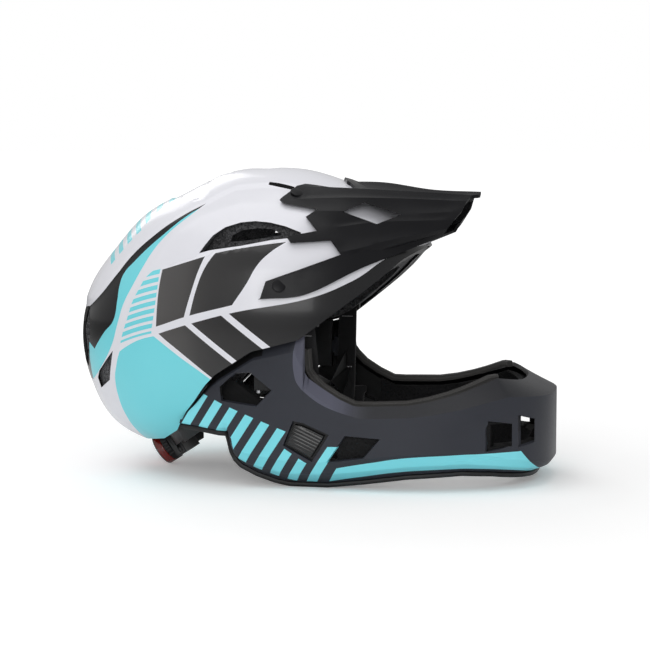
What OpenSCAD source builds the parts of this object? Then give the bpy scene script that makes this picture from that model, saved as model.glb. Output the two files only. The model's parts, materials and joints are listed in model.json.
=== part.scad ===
// Full face cycling helmet for a youth, with a chin guard that slides off forward.
// +X is forward, +Y is the wearer's left, +Z is up, and Z = 0 is the table under the cheeks.

/* [Shell] */
// Reach of the shell forward of its centre
front_reach = 148; // [144:1:152]
// Reach of the shell behind its centre
rear_reach = 144; // [141:1:148]
// Half width of the shell above the ears
side_reach = 104; // [103:0.5:108]
// Rise of the crown above the shell's centre
crown_rise = 127; // [124:1:131]
// Wall of the shell
shell_t = 2; // [1.5:0.1:2.4]
// How far the shell's edge hangs below the liner's edge
shell_lap = 3; // [2:0.5:4]

/* [Liner] */
// Shell and foam together at the brow
front_foam = 30; // [27:1:33]
// Shell and foam together at the back of the head
rear_foam = 44; // [40:1:47]
// Shell and foam together above the ears
side_foam = 26; // [24:1:28]
// Shell and foam together at the crown
crown_foam = 30; // [27:1:33]
// Thickness of a comfort pad at its crown
pad_t = 8; // [6:0.5:9]
// Thickness of a comfort pad at its edge
pad_edge_t = 2.5; // [2:0.5:4]
// Height of the black edging under the brow
brow_trim_h = 2.6; // [2:0.2:2.8]
// Height of the black edging beside the nape
nape_trim_h = 2.6; // [2:0.2:2.8]

/* [Chin guard] */
// How far the guard's sides stand in from the shell's widest place
guard_inset = 6; // [5.5:0.5:7]
// Foremost point of the guard
guard_front = 184.5; // [177:0.5:188]
// Wall of the guard
guard_t = 3; // [2.4:0.2:3.4]
// Height of the black trim along the guard's lower edge
edge_trim_h = 4; // [3:0.5:5]
// Width of the rubber trim round the face port
port_trim_w = 6; // [4:0.5:7]

/* [Guard latch] */
// Travel of a release button
button_travel = 3; // [2:0.5:3.5]
// Radius of a release button's stem
button_stem_r = 3; // [2.5:0.25:3.5]
// Height of a tongue
tongue_h = 10; // [8:0.5:12]
// Thickness of a tongue
tongue_t = 2.6; // [2:0.2:3]
// Length of a tongue inside its mount
tongue_l = 17; // [14:0.5:17]

/* [Visor] */
// Thickness of the visor
visor_t = 2.6; // [2.2:0.2:3.2]
// Radius of a visor plug
plug_r = 3; // [2.5:0.25:3.5]

/* [Fit system] */
// Radius of the bands' arc, from its centre to the middle of a band
band_r = 65.5; // [64:0.5:67]
// Thickness of a band
band_t = 2; // [1.6:0.2:2.4]
// Height of a band beside the head
band_h = 13; // [11:0.5:13.5]
// Pitch radius of the pinion
pinion_r = 6; // [5.5:0.25:6.5]
// Radius of the knob
knob_r = 13.5; // [12:0.5:14.5]
// Height of the knob along its axis
knob_h = 4.8; // [4.2:0.2:5.6]
// Radius of the spindle that carries the knob
spindle_r = 4.5; // [4:0.25:4.75]
// Thickness of the red rear lens
lens_t = 4.6; // [4.2:0.2:5.4]
// Radius of the light's button
light_button_r = 5; // [4:0.25:6]
// Travel of the light's button
light_travel = 0.8; // [0.5:0.1:1]

/* [Straps] */
// Width of the webbing
webbing_w = 15; // [12:1:18]
// Thickness of the webbing
webbing_t = 1.5; // [1.2:0.1:1.8]

/* [Clearances] */
// Gap between bonded layers
bond_gap = 0.2; // [0.1:0.05:0.3]
// Gap round a part that slides or turns
run_gap = 0.3; // [0.2:0.05:0.4]
// Radial gap of a shaft in its hole
shaft_gap = 0.06; // [0.04:0.01:0.1]

/* [Hidden] */

white = "#e9e9ee";
black = "#17181a";
charcoal = "#3b3d45";
foam_grey = "#26272a";
turquoise = "#6fd0d8";
red = "#8e2a1e";
steel = "#b8bcc2";

// The shell's centre, from which its radii are measured
dome_c = [-45, 0, 107.5];
// Shape of the shell's outline every 15 degrees, from 45 degrees below the centre upwards
outline_step = 15;
outline_low = -45;
// The reaches that outlines and paths were drawn for, and how far the present ones differ
drawn_front = 148;
drawn_rear = 144;
drawn_side = 104;
drawn_crown = 127;
stretch = [front_reach / drawn_front, side_reach / drawn_side, crown_rise / drawn_crown];
side_shift = side_reach - drawn_side;
rear_outline = concat([123, 138.5, 142.5, 144, 140, 132, 129, 124.5, 126] * (rear_reach / drawn_rear),
                      [crown_rise]);
front_outline = concat([135, 135, 135, 137, 142, 148, 142, 133.5, 130] * stretch[0], [crown_rise]);
side_outline = concat([96, 99, 102, 104, 108, 114, 119, 122, 125] * stretch[1], [crown_rise]);
// How square the shell is seen from above, at its widest and at its crown
side_power = 2.25;
crown_power = 2;

// Height of the liner's lower edge, seen from the side, from the nape to the brow
rim_line = [[-200, 22], [-133, 29], [-111, 33], [-97, 41.7], [-85.5, 58.3], [-77.5, 67], [-67.5, 79.7],
            [-59, 88], [-43, 98.3], [-31, 106], [-9, 111.7], [3, 114.7], [25, 131.5], [46.5, 148.3],
            [59.5, 159.4], [71.5, 171], [80, 176.4], [92, 184], [130, 200]];

// Steps round the shell and up the shell
around = 60;
upward = 13;

// Layers of the helmet, named by number
skin_outer = 0;
skin_inner = 1;
foam_outer = 2;
cavity = 3;

function outline(list, a) =
    let (s = min(max((a - outline_low) / outline_step, 0), len(list) - 1.0001),
         i = floor(s), f = s - i, p = list[i], q = list[i + 1],
         before = i > 0 ? list[i - 1] : 2 * p - q,
         after = i < len(list) - 2 ? list[i + 2] : p)
    p + f / 2 * (q - before + f * (2 * before - 5 * p + 4 * q - after + f * (3 * (p - q) + after - before)));

// Radius of the shell at turn t, from the front, and rise a, above level
function dome_r(t, a) =
    let (mid = outline(cos(t) > 0 ? front_outline : rear_outline, a), side = outline(side_outline, a),
         n = mix(side_power, crown_power, a > 0 ? pow(sin(a), 2) : 0))
    pow(pow(abs(cos(t)) / mid, n) + pow(abs(sin(t)) / side, n), -1 / n);

function mix(p, q, f) = p + (q - p) * f;

function inset(layer, t, a) =
    layer == skin_outer ? 0
    : layer == skin_inner ? shell_t
    : layer == foam_outer ? shell_t + bond_gap
    : mix(mix(side_foam, cos(t) > 0 ? front_foam : rear_foam, pow(cos(t), 2)), crown_foam,
          a > 0 ? pow(sin(a), 2) : 0);

function dome_at(t, a, depth) =
    dome_c + (dome_r(t, a) - depth) * [cos(a) * cos(t), cos(a) * sin(t), sin(a)];

function dome_pt(t, a, layer, extra = 0) = dome_at(t, a, inset(layer, t, a) + extra);

// Rise at which a layer meets the rim line lowered by drop
function rim_rise(t, layer, drop = 0, extra = 0, lo = -75, hi = 60, n = 14) =
    let (m = (lo + hi) / 2, p = dome_pt(t, m, layer, extra))
    n == 0 ? m
    : p[2] > lookup(p[0], rim_line) - drop ? rim_rise(t, layer, drop, extra, lo, m, n - 1)
    : rim_rise(t, layer, drop, extra, m, hi, n - 1);

// Closed wall between face a and face b, two grids of points with as many rows and columns.
// Rows climb and columns run to the right as seen from outside face a.
module wall(a, b) {
    rows = len(a);
    cols = len(a[0]);
    n = rows * cols;
    points = concat([for (r = a) each r], [for (r = b) each r]);
    faces = [
        for (i = [0:rows - 2], j = [0:cols - 2])
            let (p = i * cols + j, q = p + cols)
            each [[p, q, q + 1], [p, q + 1, p + 1],
                  [n + p, n + q + 1, n + q], [n + p, n + p + 1, n + q + 1]],
        for (i = [0:rows - 2])
            let (p = i * cols, q = p + cols, r = p + cols - 1, s = r + cols)
            each [[q, p, n + p], [q, n + p, n + q], [r, s, n + s], [r, n + s, n + r]],
        for (j = [0:cols - 2])
            let (p = j, r = (rows - 1) * cols + j)
            each [[p, p + 1, n + p + 1], [p, n + p + 1, n + p],
                  [r + 1, r, n + r + 1], [r, n + r, n + r + 1]]];
    polyhedron(points, faces);
}

// Rises of a layer's rings of points at turn t. All layers but the cavity share theirs, so that the
// shell and the liner have parallel facets. The shell has one more ring, below the rim line by lap.
function rises(t, layer, lap) =
    let (low = rim_rise(t, layer == cavity ? cavity : foam_outer))
    concat(lap > 0 ? [rim_rise(t, foam_outer, lap)] : [],
           [for (j = [0:upward - 1]) mix(low, 90, j / upward)]);

// Whole dome between two layers, closed at the crown and open below
module dome_wall(outer, inner, lap) {
    turns = [for (i = [0:around - 1]) i * 360 / around];
    rings = upward + (lap > 0 ? 1 : 0);
    points = [
        for (layer = [outer, inner])
            let (columns = [for (t = turns) rises(t, layer, lap)])
            each concat(
                [for (j = [0:rings - 1], i = [0:around - 1]) dome_pt(turns[i], columns[i][j], layer)],
                [dome_pt(0, 90, layer)])];
    half = around * rings + 1;
    faces = [
        for (j = [0:rings - 2], i = [0:around - 1])
            let (k = (i + 1) % around,
                 p = j * around + i, q = j * around + k, r = p + around, s = q + around)
            each [[p, r, s], [p, s, q], [half + p, half + s, half + r], [half + p, half + q, half + s]],
        for (i = [0:around - 1])
            let (k = (i + 1) % around, top = (rings - 1) * around)
            each [[top + i, half - 1, top + k], [half + top + i, half + top + k, 2 * half - 1],
                  [i, k, half + k], [i, half + k, half + i]]];
    polyhedron(points, faces);
}

// A side-view outline, cut through one side of the helmet from depth y0 to y1
module side_cut(outline2d, y0, y1) {
    translate([0, -y0, 0]) rotate([90, 0, 0]) linear_extrude(y1 - y0) polygon(outline2d);
}

module both_sides() {
    children();
    mirror([0, 1, 0]) children();
}

// Vents of the shell and liner: the side ones seen from the side, the top ones from above
crescent = [[-72.7, 174], [-68.8, 180], [-63.5, 187], [-55, 193], [-44, 196.5], [-33, 197.6], [-21.5, 196.6],
            [-10, 194], [2, 189.5], [2, 185.6], [-8, 185.3], [-19.5, 184], [-41.3, 179.7], [-63.9, 176.4]];
crescent_duct = [[-54, 181.5], [-52, 186.5], [-44, 190.5], [-33, 192], [-22, 191.5], [-14, 187.5], [-24, 185.4],
                 [-42, 182.5]];
duct_from = 72;
top_slot = [[-34, 38], [-14, 41], [-14, 46.5], [-34, 44]];
crown_slot = [[-87, -7], [-68, -5], [-68, 5], [-87, 7]];
// The rear vent, seen from behind, as distances from the middle and heights
rear_vent = [[29, 88], [46, 82], [56, 94], [60, 112], [54, 130], [38, 128], [29, 116]];
low_vent = [[-163.5, 75], [-160.5, 81], [-144, 98.7], [-150, 75], [-161.5, 67]];
deep = 130;

module top_slots() {
    translate([0, 0, dome_c[2] + 40]) linear_extrude(deep) {
        polygon(top_slot);
        polygon([for (p = top_slot) [p[0], -p[1]]]);
        polygon(crown_slot);
    }
}

module rear_vents() {
    both_sides() translate([-2 * deep, 0, 0]) rotate([90, 0, 90]) linear_extrude(deep)
        polygon([for (p = rear_vent) [-p[0], p[1]]]);
}

module outer_shell() {
    color(white) difference() {
        dome_wall(skin_outer, skin_inner, shell_lap);
        top_slots();
        rear_vents();
        both_sides() {
            side_cut(crescent, 20, deep);
            side_cut(low_vent, 50, deep);
            for (s = plug_places) plug_line(s)
                cylinder(h = 30, r = plug_r + run_gap, center = true, $fn = 24);
        }
    }
}

module foam_liner() {
    color(foam_grey) difference() {
        dome_wall(foam_outer, cavity, 0);
        top_slots();
        rear_vents();
        both_sides() {
            side_cut(crescent, duct_from, deep);
            side_cut(crescent_duct, 20, deep);
            for (s = plug_places) plug_line(s) translate([0, 0, -shell_t - plug_l - 1])
                cylinder(h = plug_l + 2, r = plug_r + 1.6, $fn = 24);
            anchor_block(front_path[0], bond_gap);
            anchor_block(rear_path[0], bond_gap);
            translate([screw_x, -tongue_y, mount_low])
                cylinder(h = screw_end - mount_low + 0.3, r = screw_r + 0.05, $fn = 24);
            arm_plate(bond_gap);
        }
        bracket_plate(bond_gap);
        band_room();
    }
}

// Edging under the liner's edge, from turn t0 to t1, on the liner's own turns. Its outer and inner
// sides are set in from the liner's outer edge by shares of the edge's width.
module rim_strip(t0, t1, h, gap, outer_share, inner_share) {
    ts = [for (t = [t0:360 / around:t1]) t];
    function ring(share, drop) = [for (t = ts)
        mix(dome_pt(t, rim_rise(t, foam_outer), foam_outer), dome_pt(t, rim_rise(t, cavity), cavity), share)
        - [0, 0, drop]];
    wall([for (drop = [h, gap]) ring(outer_share, drop)], [for (drop = [h, gap]) ring(inner_share, drop)]);
}

module brow_trim() { color(black) rim_strip(-48, 48, brow_trim_h, 0.4, 0.02, 0.3); }
module nape_trim() {
    color(black) {
        rim_strip(138, 156, nape_trim_h + 0.6, 1, 0.1, 0.28);
        rim_strip(204, 222, nape_trim_h + 0.6, 1, 0.1, 0.28);
    }
}

// Comfort pads: crowned inner face, sides drawn in between the corners, one sewn channel
pad_gap = 1;
channel_depth = 0.35;
function pad_depth(u, v) =
    (pad_edge_t + (pad_t - pad_edge_t) * (1 - pow(abs(u), 4)) * (1 - pow(abs(v), 4)))
    * (1 - channel_depth * exp(-pow(u * 7, 2)) * (1 - pow(v, 2)));
function drawn_in(u, v, share) = u * (1 - share * (1 - v * v));

// spot(u, v) gives the turn and rise of a place on the pad, with u and v from -1 to 1
module comfort_pad(spot, cols, rows) {
    grid = [for (j = [0:rows]) [for (i = [0:cols])
        let (u = -1 + 2 * i / cols, v = -1 + 2 * j / rows)
        [u, v, spot(drawn_in(u, v, 0.05), drawn_in(v, u, 0.12))]]];
    wall([for (r = grid) [for (g = r) dome_pt(g[2][0], g[2][1], cavity, pad_gap)]],
         [for (r = grid) [for (g = r) dome_pt(g[2][0], g[2][1], cavity, pad_gap + pad_depth(g[0], g[1]))]]);
}

module brow_pad() {
    color(black) comfort_pad(function(u, v) let (t = 44 * u) [t, rim_rise(t, cavity) + 11 + 6 * v], 30, 8);
}
module side_pad_right() {
    color(black) comfort_pad(function(u, v) [-92 + 22 * u, 36 + 9 * v], 18, 8);
}
module side_pad_left() { mirror([0, 1, 0]) side_pad_right(); }
module rear_pad() {
    color(black) comfort_pad(function(u, v) [180 + 16 * u, 58 + 7 * v], 16, 8);
}
module crown_pad() {
    // Over the crown the pad runs from front to back
    color(black) comfort_pad(function(u, v)
        let (along = 84 - 17 * v, across = -8 * u, x = sin(90 - along) * cos(across), y = sin(across),
             z = sin(along) * cos(across))
        [atan2(y, x), atan2(z, sqrt(x * x + y * y))], 12, 14);
}

// Plan of the chin guard: half width at x, and the outward direction there
guard_half_w = side_reach - guard_inset;
guard_mid = 10;
guard_rear_run = 165;
rear_power = 2.2;
front_power = 2.6;
function plan_run(x) = x > guard_mid ? guard_front - guard_mid : guard_rear_run;
function plan_power(x) = x > guard_mid ? front_power : rear_power;
function guard_half(x) =
    let (n = plan_power(x)) guard_half_w * pow(max(1 - pow(abs(x - guard_mid) / plan_run(x), n), 0), 1 / n);
function plan_dir(x, y) =
    let (n = plan_power(x), a = plan_run(x),
         g = [sign(x - guard_mid) / a * pow(abs(x - guard_mid) / a, n - 1),
              sign(y) / guard_half_w * pow(abs(y) / guard_half_w, n - 1)])
    g / norm(g);

// Stations along the guard from the right rear end round the chin, as [x, y, outward x, outward y]
side_x = [-92, -84, -76, -68, -60, -55.8, -53.5, -50.5, -46, -34, -20, -8, 1, 7, 7.6, 12, 20, 32, 44,
          54, 68, 84, 100, 116, 129, 141, 151, 160, 168];
drawn_nose = 182;
chin_y = [42, 28, 14];
function chin_x(y) = guard_mid + plan_run(guard_front)
    * pow(1 - pow(y / guard_half_w, front_power), 1 / front_power);
function station(x, y) = let (d = plan_dir(x, y)) [x, y, d[0], d[1]];
function right_stations(from) = concat(
    [for (x = side_x) if (x >= from)
        let (at = x * (x > guard_mid ? guard_front / drawn_nose : 1)) station(at, -guard_half(at))],
    [for (y = chin_y) station(chin_x(y), -y)]);
function stations(from) =
    let (right = right_stations(from))
    concat(right, [[guard_front, 0, 1, 0]],
           [for (i = [len(right) - 1:-1:0]) let (s = right[i]) [s[0], -s[1], s[2], -s[3]]]);

// Upper and lower outlines of the guard, seen from the side
guard_under_shell = 1;
port_rear = 7.2;
port_line = [[7.2, 87], [9.5, 83.3], [20, 76], [32.5, 68.3], [44.5, 63], [54, 63], [84, 64], [100, 66.6],
             [120, 71.4], [138, 77], [155, 82], [168, 80], [183, 77.5], [190, 77]];
lower_line = [[-92, 41], [-77.5, 40], [-55.8, 37.3], [-53.5, 24.5], [-51, 18.3], [-46.5, 13.5], [-34, 7],
              [-20, 2], [-8, 0], [22, 0], [50, 3], [84, 7.3], [127, 10], [150, 9], [190, 4]];
function guard_top(x) =
    x < port_rear ? lookup(x, rim_line) - shell_lap - guard_under_shell : lookup(x, port_line);
function guard_low(x) = lookup(x, lower_line) + edge_trim_h;
// Where the wall starts to lean in: how far in its edges are, and how high the leaning parts are
bevel_in = [[-92, 1], [-60, 3], [1, 4], [7, 7], [84, 7], [125, 11], [155, 17], [183, 22]];
bevel_high = [[-92, 1], [-60, 6], [1, 8], [7, 24], [7.6, 8], [84, 8], [155, 12], [183, 10]];
tuck_in = [[-92, 1], [-60, 2], [-50, 9], [-20, 17], [65, 18], [125, 17], [183, 20]];
tuck_high = [[-92, 1], [-60, 4], [-50, 10], [-20, 18], [65, 18], [125, 18], [183, 16]];

// A place on the guard at station s: d inwards from its plan line, at height z
function guard_pt(s, d, z) = [s[0] - d * s[2], s[1] - d * s[3], z];
// Section of the guard, from its lower edge to its upper edge, as [inward, height], at depth t in the wall
function guard_section(x, t) =
    let (low = guard_low(x), top = guard_top(x), tuck = lookup(x, tuck_in), bevel = lookup(x, bevel_in),
         lift = min(lookup(x, tuck_high), 0.4 * (top - low)),
         shed = min(lookup(x, bevel_high), 0.25 * (top - low)))
    [[tuck + 1.2 * t, low], [0.35 * tuck + 1.1 * t, low + 0.45 * lift + 0.2 * t], [t, low + lift],
     [t, top - shed - 0.3 * t], [bevel + 1.3 * t, top]];

module guard_wall(from, t0, t1) {
    run = stations(from);
    face = [for (t = [t0, t1]) [for (m = [0:4]) [for (s = run)
        let (p = guard_section(s[0], t)[m]) guard_pt(s, p[0], p[1])]]];
    wall(face[0], face[1]);
}

// Openings of the guard, as outlines seen from the side
ear_vent = [[-56, 74.3], [-44.3, 83.8], [-34.4, 84.5], [-20.8, 73.7], [-29.4, 64.4], [-55, 66]];
button_window = [[0.6, 49.8], [6.5, 48.9], [23.8, 41.6], [13.2, 24.5], [-5.6, 34.4]];
cheek_recess = [[40, 38.8], [58.5, 37.7], [50.5, 28.4], [31.3, 25.9]];
side_vent = [[142, 50], [157, 50], [157, 33], [142, 33]];
corner_vent = [[165, 52], [171.5, 51.5], [171.5, 35], [165, 35.5]];
corner_duct = [[156, 55], [178, 55], [178, 32], [156, 32]];

module guard_shell() {
    color(charcoal) difference() {
        guard_wall(side_x[0], 0, guard_t);
        both_sides() {
            side_cut(ear_vent, 70, deep);
            side_cut(button_window, 70, deep);
            side_cut(cheek_recess, 70, deep);
            side_cut(side_vent, 20, deep);
            side_cut(corner_vent, 20, deep);
        }
    }
}

// Foam inside the guard's front, with its inner face so far in from the plan line
foam_from = 30;
foam_in = [[30, 12.5], [84, 14], [125, 15], [183, 16]];
foam_gap = 0.3;
function foam_face(x, f) =
    let (low = guard_low(x), top = guard_top(x) - port_trim_h, p = guard_section(x, guard_t + foam_gap),
         deepest = lookup(x, foam_in),
         in_low = max(p[0][0] + 4, deepest), in_top = max(p[4][0] + 3, deepest))
    f == 0 ? [[p[0][0], low + 1.4], p[1], p[2], [p[3][0], min(p[3][1], top - 6)], [p[4][0], top - 1.4]]
    : [[in_low + 3, low + 3], [in_low, low + 9], [deepest, mix(low, top, 0.5)],
       [mix(deepest, in_top, 0.4), top - 8], [in_top + 1, top - 2]];

module guard_foam() {
    run = stations(foam_from);
    color(foam_grey) difference() {
        wall([for (m = [0:4]) [for (s = run) let (p = foam_face(s[0], 0)[m]) guard_pt(s, p[0], p[1])]],
             [for (m = [0:4]) [for (s = run) let (p = foam_face(s[0], 1)[m]) guard_pt(s, p[0], p[1])]]);
        both_sides() {
            side_cut(side_vent, 5, deep);
            side_cut(corner_duct, 8, deep);
        }
    }
}

module guard_edge_trim() {
    inner = guard_t + 4;
    chamfer = 1.5;
    // A row of points so far in from the tucked edge, at share h of the trim's height
    function row(in, h) = [for (s = stations(side_x[0]))
        guard_pt(s, lookup(s[0], tuck_in) + in, lookup(s[0], lower_line) + h * (edge_trim_h - bond_gap))];
    color(black) wall([row(chamfer, 0), row(0, 1)], [row(inner, 0), row(inner, 1)]);
}

// Rubber trim round the face port: a strip inside the guard's edge, from the shell down and forward
port_trim_h = 4.5;
port_trim_lip = 1.2;
port_trim_line = concat([[8.6, 104], [9, 96], [9.8, 88.5], [13, 84]],
    [for (x = [20, 32, 44, 54, 68, 84, 100, 116, 129, 141, 151]) [x, lookup(x, port_line) + 1]]);
module port_trim_right() {
    n = len(port_trim_line) - 1;
    // The direction in the side view from the port's edge into the guard
    function back(i) =
        let (d = port_trim_line[min(i + 1, n)] - port_trim_line[max(i - 1, 0)]) [d[1], -d[0]] / norm(d);
    function at(i, in, b) =
        let (q = port_trim_line[i] + b * back(i), s = station(q[0], -guard_half(q[0])))
        guard_pt(s, lookup(q[0], bevel_in) + 1.3 * guard_t + 0.4 + in, q[1]);
    wall([for (b = [port_trim_h - port_trim_lip, -port_trim_lip]) [for (i = [0:n]) at(i, 0, b)]],
         [for (b = [port_trim_h - port_trim_lip, -port_trim_lip]) [for (i = [0:n]) at(i, port_trim_w, b)]]);
}
module port_trim() { color(black) both_sides() port_trim_right(); }

// Mounts that hang under the liner, and the tongues of the guard that enter them from the front
mount_x = [-33, -8];
mount_y = [guard_half_w - 19.2, guard_half_w - 13.6];
mount_low = 72;
tongue_z = 88;
tongue_y = (mount_y[0] + mount_y[1]) / 2;
screw_x = -29.6;
screw_r = 1.5;
screw_end = lookup(screw_x, rim_line) + 9;
below_rim = concat([for (p = rim_line) [p[0], p[1] - 1.4]], [[130, -50], [-200, -50]]);

module guard_mount_right() {
    color(black) difference() {
        intersection() {
            translate([mount_x[0], -mount_y[1], mount_low])
                cube([mount_x[1] - mount_x[0], mount_y[1] - mount_y[0], 60]);
            side_cut(below_rim, mount_y[0] - 5, mount_y[1] + 5);
        }
        // Slot for the tongue, open forward
        translate([mount_x[1] - tongue_l - run_gap, -tongue_y - tongue_t / 2 - run_gap,
                   tongue_z - tongue_h / 2 - run_gap])
            cube([tongue_l + 2, tongue_t + 2 * run_gap, tongue_h + 2 * run_gap]);
        translate([screw_x, -tongue_y, mount_low - 1]) cylinder(h = 60, r = screw_r + shaft_gap, $fn = 24);
    }
}
module guard_mount_left() { mirror([0, 1, 0]) guard_mount_right(); }

module mount_screws() {
    color(steel) both_sides() translate([screw_x, -tongue_y, 0]) {
        translate([0, 0, mount_low - 2]) cylinder(h = 2, r = 2.6, $fn = 24);
        translate([0, 0, mount_low]) cylinder(h = screw_end - mount_low, r = screw_r, $fn = 24);
    }
}

boss_x = [mount_x[1] + 1.5, -1];
module guard_tongue_right() {
    color(charcoal) {
        translate([mount_x[1] - tongue_l, -tongue_y - tongue_t / 2, tongue_z - tongue_h / 2])
            cube([boss_x[1] - mount_x[1] + tongue_l, tongue_t, tongue_h]);
        translate([boss_x[0], -guard_half_w + guard_t + 0.4, tongue_z - 8])
            cube([boss_x[1] - boss_x[0], guard_half_w - guard_t - 0.4 - tongue_y + tongue_t / 2, 16]);
    }
}
module guard_tongue_left() { mirror([0, 1, 0]) guard_tongue_right(); }

// Release button in the guard's window, sprung outwards in its housing
button_at = [8, 38];
button_face = guard_half_w + 0.5;
housing_depth = 13.8;
housing_in_y = guard_half_w - housing_depth;
housing_out_y = guard_half_w - guard_t - 0.8;
cap_t = 4;
housing_wall = 2.2;
module at_button(y) { translate([button_at[0], -y, button_at[1]]) rotate([-90, 0, 0]) children(); }
module button_outline(grow) { offset(delta = grow) polygon(button_window); }

module latch_housing_right() {
    color(black) difference() {
        translate([0, -housing_in_y, 0]) rotate([90, 0, 0]) linear_extrude(housing_out_y - housing_in_y)
            button_outline(housing_wall);
        translate([0, -housing_in_y - 2, 0]) rotate([90, 0, 0]) linear_extrude(20) button_outline(-0.3);
        at_button(housing_out_y) cylinder(h = 20, r = button_stem_r + run_gap, $fn = 32);
    }
}
module latch_housing_left() { mirror([0, 1, 0]) latch_housing_right(); }

module latch_button_right() {
    color("#0c0d0f") {
        translate([0, -button_face + cap_t, 0]) rotate([90, 0, 0]) linear_extrude(cap_t)
            button_outline(-0.3 - run_gap);
        at_button(button_face - cap_t)
            cylinder(h = button_face - cap_t - housing_in_y - button_travel - 0.2,
                     r = button_stem_r, $fn = 32);
    }
}
module latch_button_left() { mirror([0, 1, 0]) latch_button_right(); }

module latch_spring_right() {
    color(steel) at_button(button_face - cap_t - 0.1) difference() {
        cylinder(h = button_face - cap_t - housing_in_y - 2.3, r = button_stem_r + 1.6, $fn = 32);
        translate([0, 0, -1]) cylinder(h = 30, r = button_stem_r + 0.6, $fn = 32);
    }
}
module latch_spring_left() { mirror([0, 1, 0]) latch_spring_right(); }

// Cheek pads on the guard, over the latch housings and a block of foam behind each
cheek_y = housing_in_y - 0.3;
cheek_t = 11;
cheek_x = [-44, 22];
cheek_z = [23, 58];
function cheek_spot(u, v) =
    [mix(cheek_x[0], cheek_x[1], (drawn_in(u, v, 0.04) + 1) / 2),
     mix(cheek_z[0], cheek_z[1], (drawn_in(v, u, 0.1) + 1) / 2)];
module cheek_pad_right() {
    cols = 24;
    rows = 12;
    color(black) wall(
        [for (j = [0:rows]) [for (i = [0:cols])
            let (u = -1 + 2 * i / cols, v = -1 + 2 * j / rows, p = cheek_spot(u, v))
            [p[0], -cheek_y + 1.5 * pow(max(abs(u), abs(v)), 6), p[1]]]],
        [for (j = [0:rows]) [for (i = [0:cols])
            let (u = -1 + 2 * i / cols, v = -1 + 2 * j / rows, p = cheek_spot(u, v),
                 t = 4 + (cheek_t - 4) * (1 - pow(abs(u), 4)) * (1 - pow(abs(v), 4))
                     * (1 - 0.3 * exp(-pow(u * 7, 2))))
            [p[0], -cheek_y + t, p[1]]]]);
}
module cheek_pad_left() { mirror([0, 1, 0]) cheek_pad_right(); }

block_x = [-43, -10];
block_z = [27, 58];
module cheek_block_right() {
    color(foam_grey) intersection() {
        guard_wall(side_x[0], guard_t + foam_gap, guard_t + 12);
        translate([block_x[0], -guard_half_w, block_z[0]])
            cube([block_x[1] - block_x[0], guard_half_w - housing_in_y, block_z[1] - block_z[0]]);
    }
}
module cheek_block_left() { mirror([0, 1, 0]) cheek_block_right(); }

// Visor: lines from its rear end to its front edge, from the middle down the right side
visor_lines = [
    [[17, 0, 225.2], [50, 0, 224.8], [88, 0, 219.4], [124.5, 0, 218]],
    [[21, 12, 221.7], [53, 12, 219.5], [89, 9, 215.5], [123.5, 5, 215.9]],
    [[-8, 50, 223.1], [28, 44, 221.6], [68, 31.5, 219.3], [119, 11.5, 215.8]],
    [[-17.5, 66, 213.3], [27, 60, 214.8], [68.5, 40, 213.8], [116.5, 20, 211.4]],
    [[-6, 74, 205.4], [32.5, 68, 205], [71, 48.5, 202.6], [113.5, 27, 203.9]],
    [[1, 83, 194.6], [23, 78, 193.3], [57.5, 62, 197], [109, 33, 197.8]],
    [[-12.5, 95, 179.7], [30.5, 86.5, 176], [66, 66, 184], [104.5, 37, 191.4]],
    [[-21, 104, 155.8], [8, 98.5, 162.4], [48, 75.5, 172.5], [102, 36, 188.2]],
    [[-24, 106.7, 141.8], [11, 101, 146], [49.5, 77, 164.5], [100.5, 35, 185.4]]];
visor_steps = 18;
visor_seat = 0.9;
// Places drawn for the visor, moved with the shell's reaches: in space, seen from the side and from above
function on_visor(p) = dome_c + [for (k = [0:2]) (p[k] - dome_c[k]) * stretch[k]];
function visor_side(p) = let (q = on_visor([p[0], 0, p[1]])) [q[0], q[2]];
function visor_above(p) = let (q = on_visor([p[0], p[1], 0])) [q[0], -q[1]];
// A smooth line through four points, f from 0 to 1
function through(p, f) =
    let (s = min(f * 3, 2.9999), i = floor(s), g = s - i, b = i > 0 ? p[i - 1] : 2 * p[0] - p[1],
         q = p[i], r = p[i + 1], a = i < 2 ? p[i + 2] : 2 * p[3] - p[2])
    q + g / 2 * (r - b + g * (2 * b - 5 * q + 4 * r - a + g * (3 * (q - r) + a - b)));
// The same place, moved out where it would sink into the shell
function off_shell(p, gap) =
    let (d = p - dome_c, t = atan2(d[1], d[0]), a = atan2(d[2], norm([d[0], d[1]])),
         need = dome_r(t, a) + gap)
    norm(d) < need ? dome_c + d / norm(d) * need : p;
function grid_dir(g, i, j) =
    let (c = cross(g[i][min(j + 1, len(g[i]) - 1)] - g[i][max(j - 1, 0)],
                   g[min(i + 1, len(g) - 1)][j] - g[max(i - 1, 0)][j]))
    c / norm(c);

// What is cut away between the visor's fingers, and its window, seen from the side
finger_gap = [[-60, 212], [-17.5, 212.5], [-14.5, 210.6], [12, 206.4], [4.7, 201], [14.3, 191], [-7, 187],
              [-3, 182.3], [25, 184], [33, 174], [5, 163.6], [-19, 155], [-22.7, 142.6], [-60, 129]];
finger_tip = [[-60, 238], [-9.6, 222.6], [-17.6, 213], [-60, 212]];
visor_window = [[30.5, 204.5], [44.5, 211], [71, 202], [55, 195.3]];
// Gap between the ridge and the first finger, seen from above
ridge_gap = [[-60, 8], [17, 8], [26, 15], [32, 24], [28, 38], [-8, 46], [-60, 54]];

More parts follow.
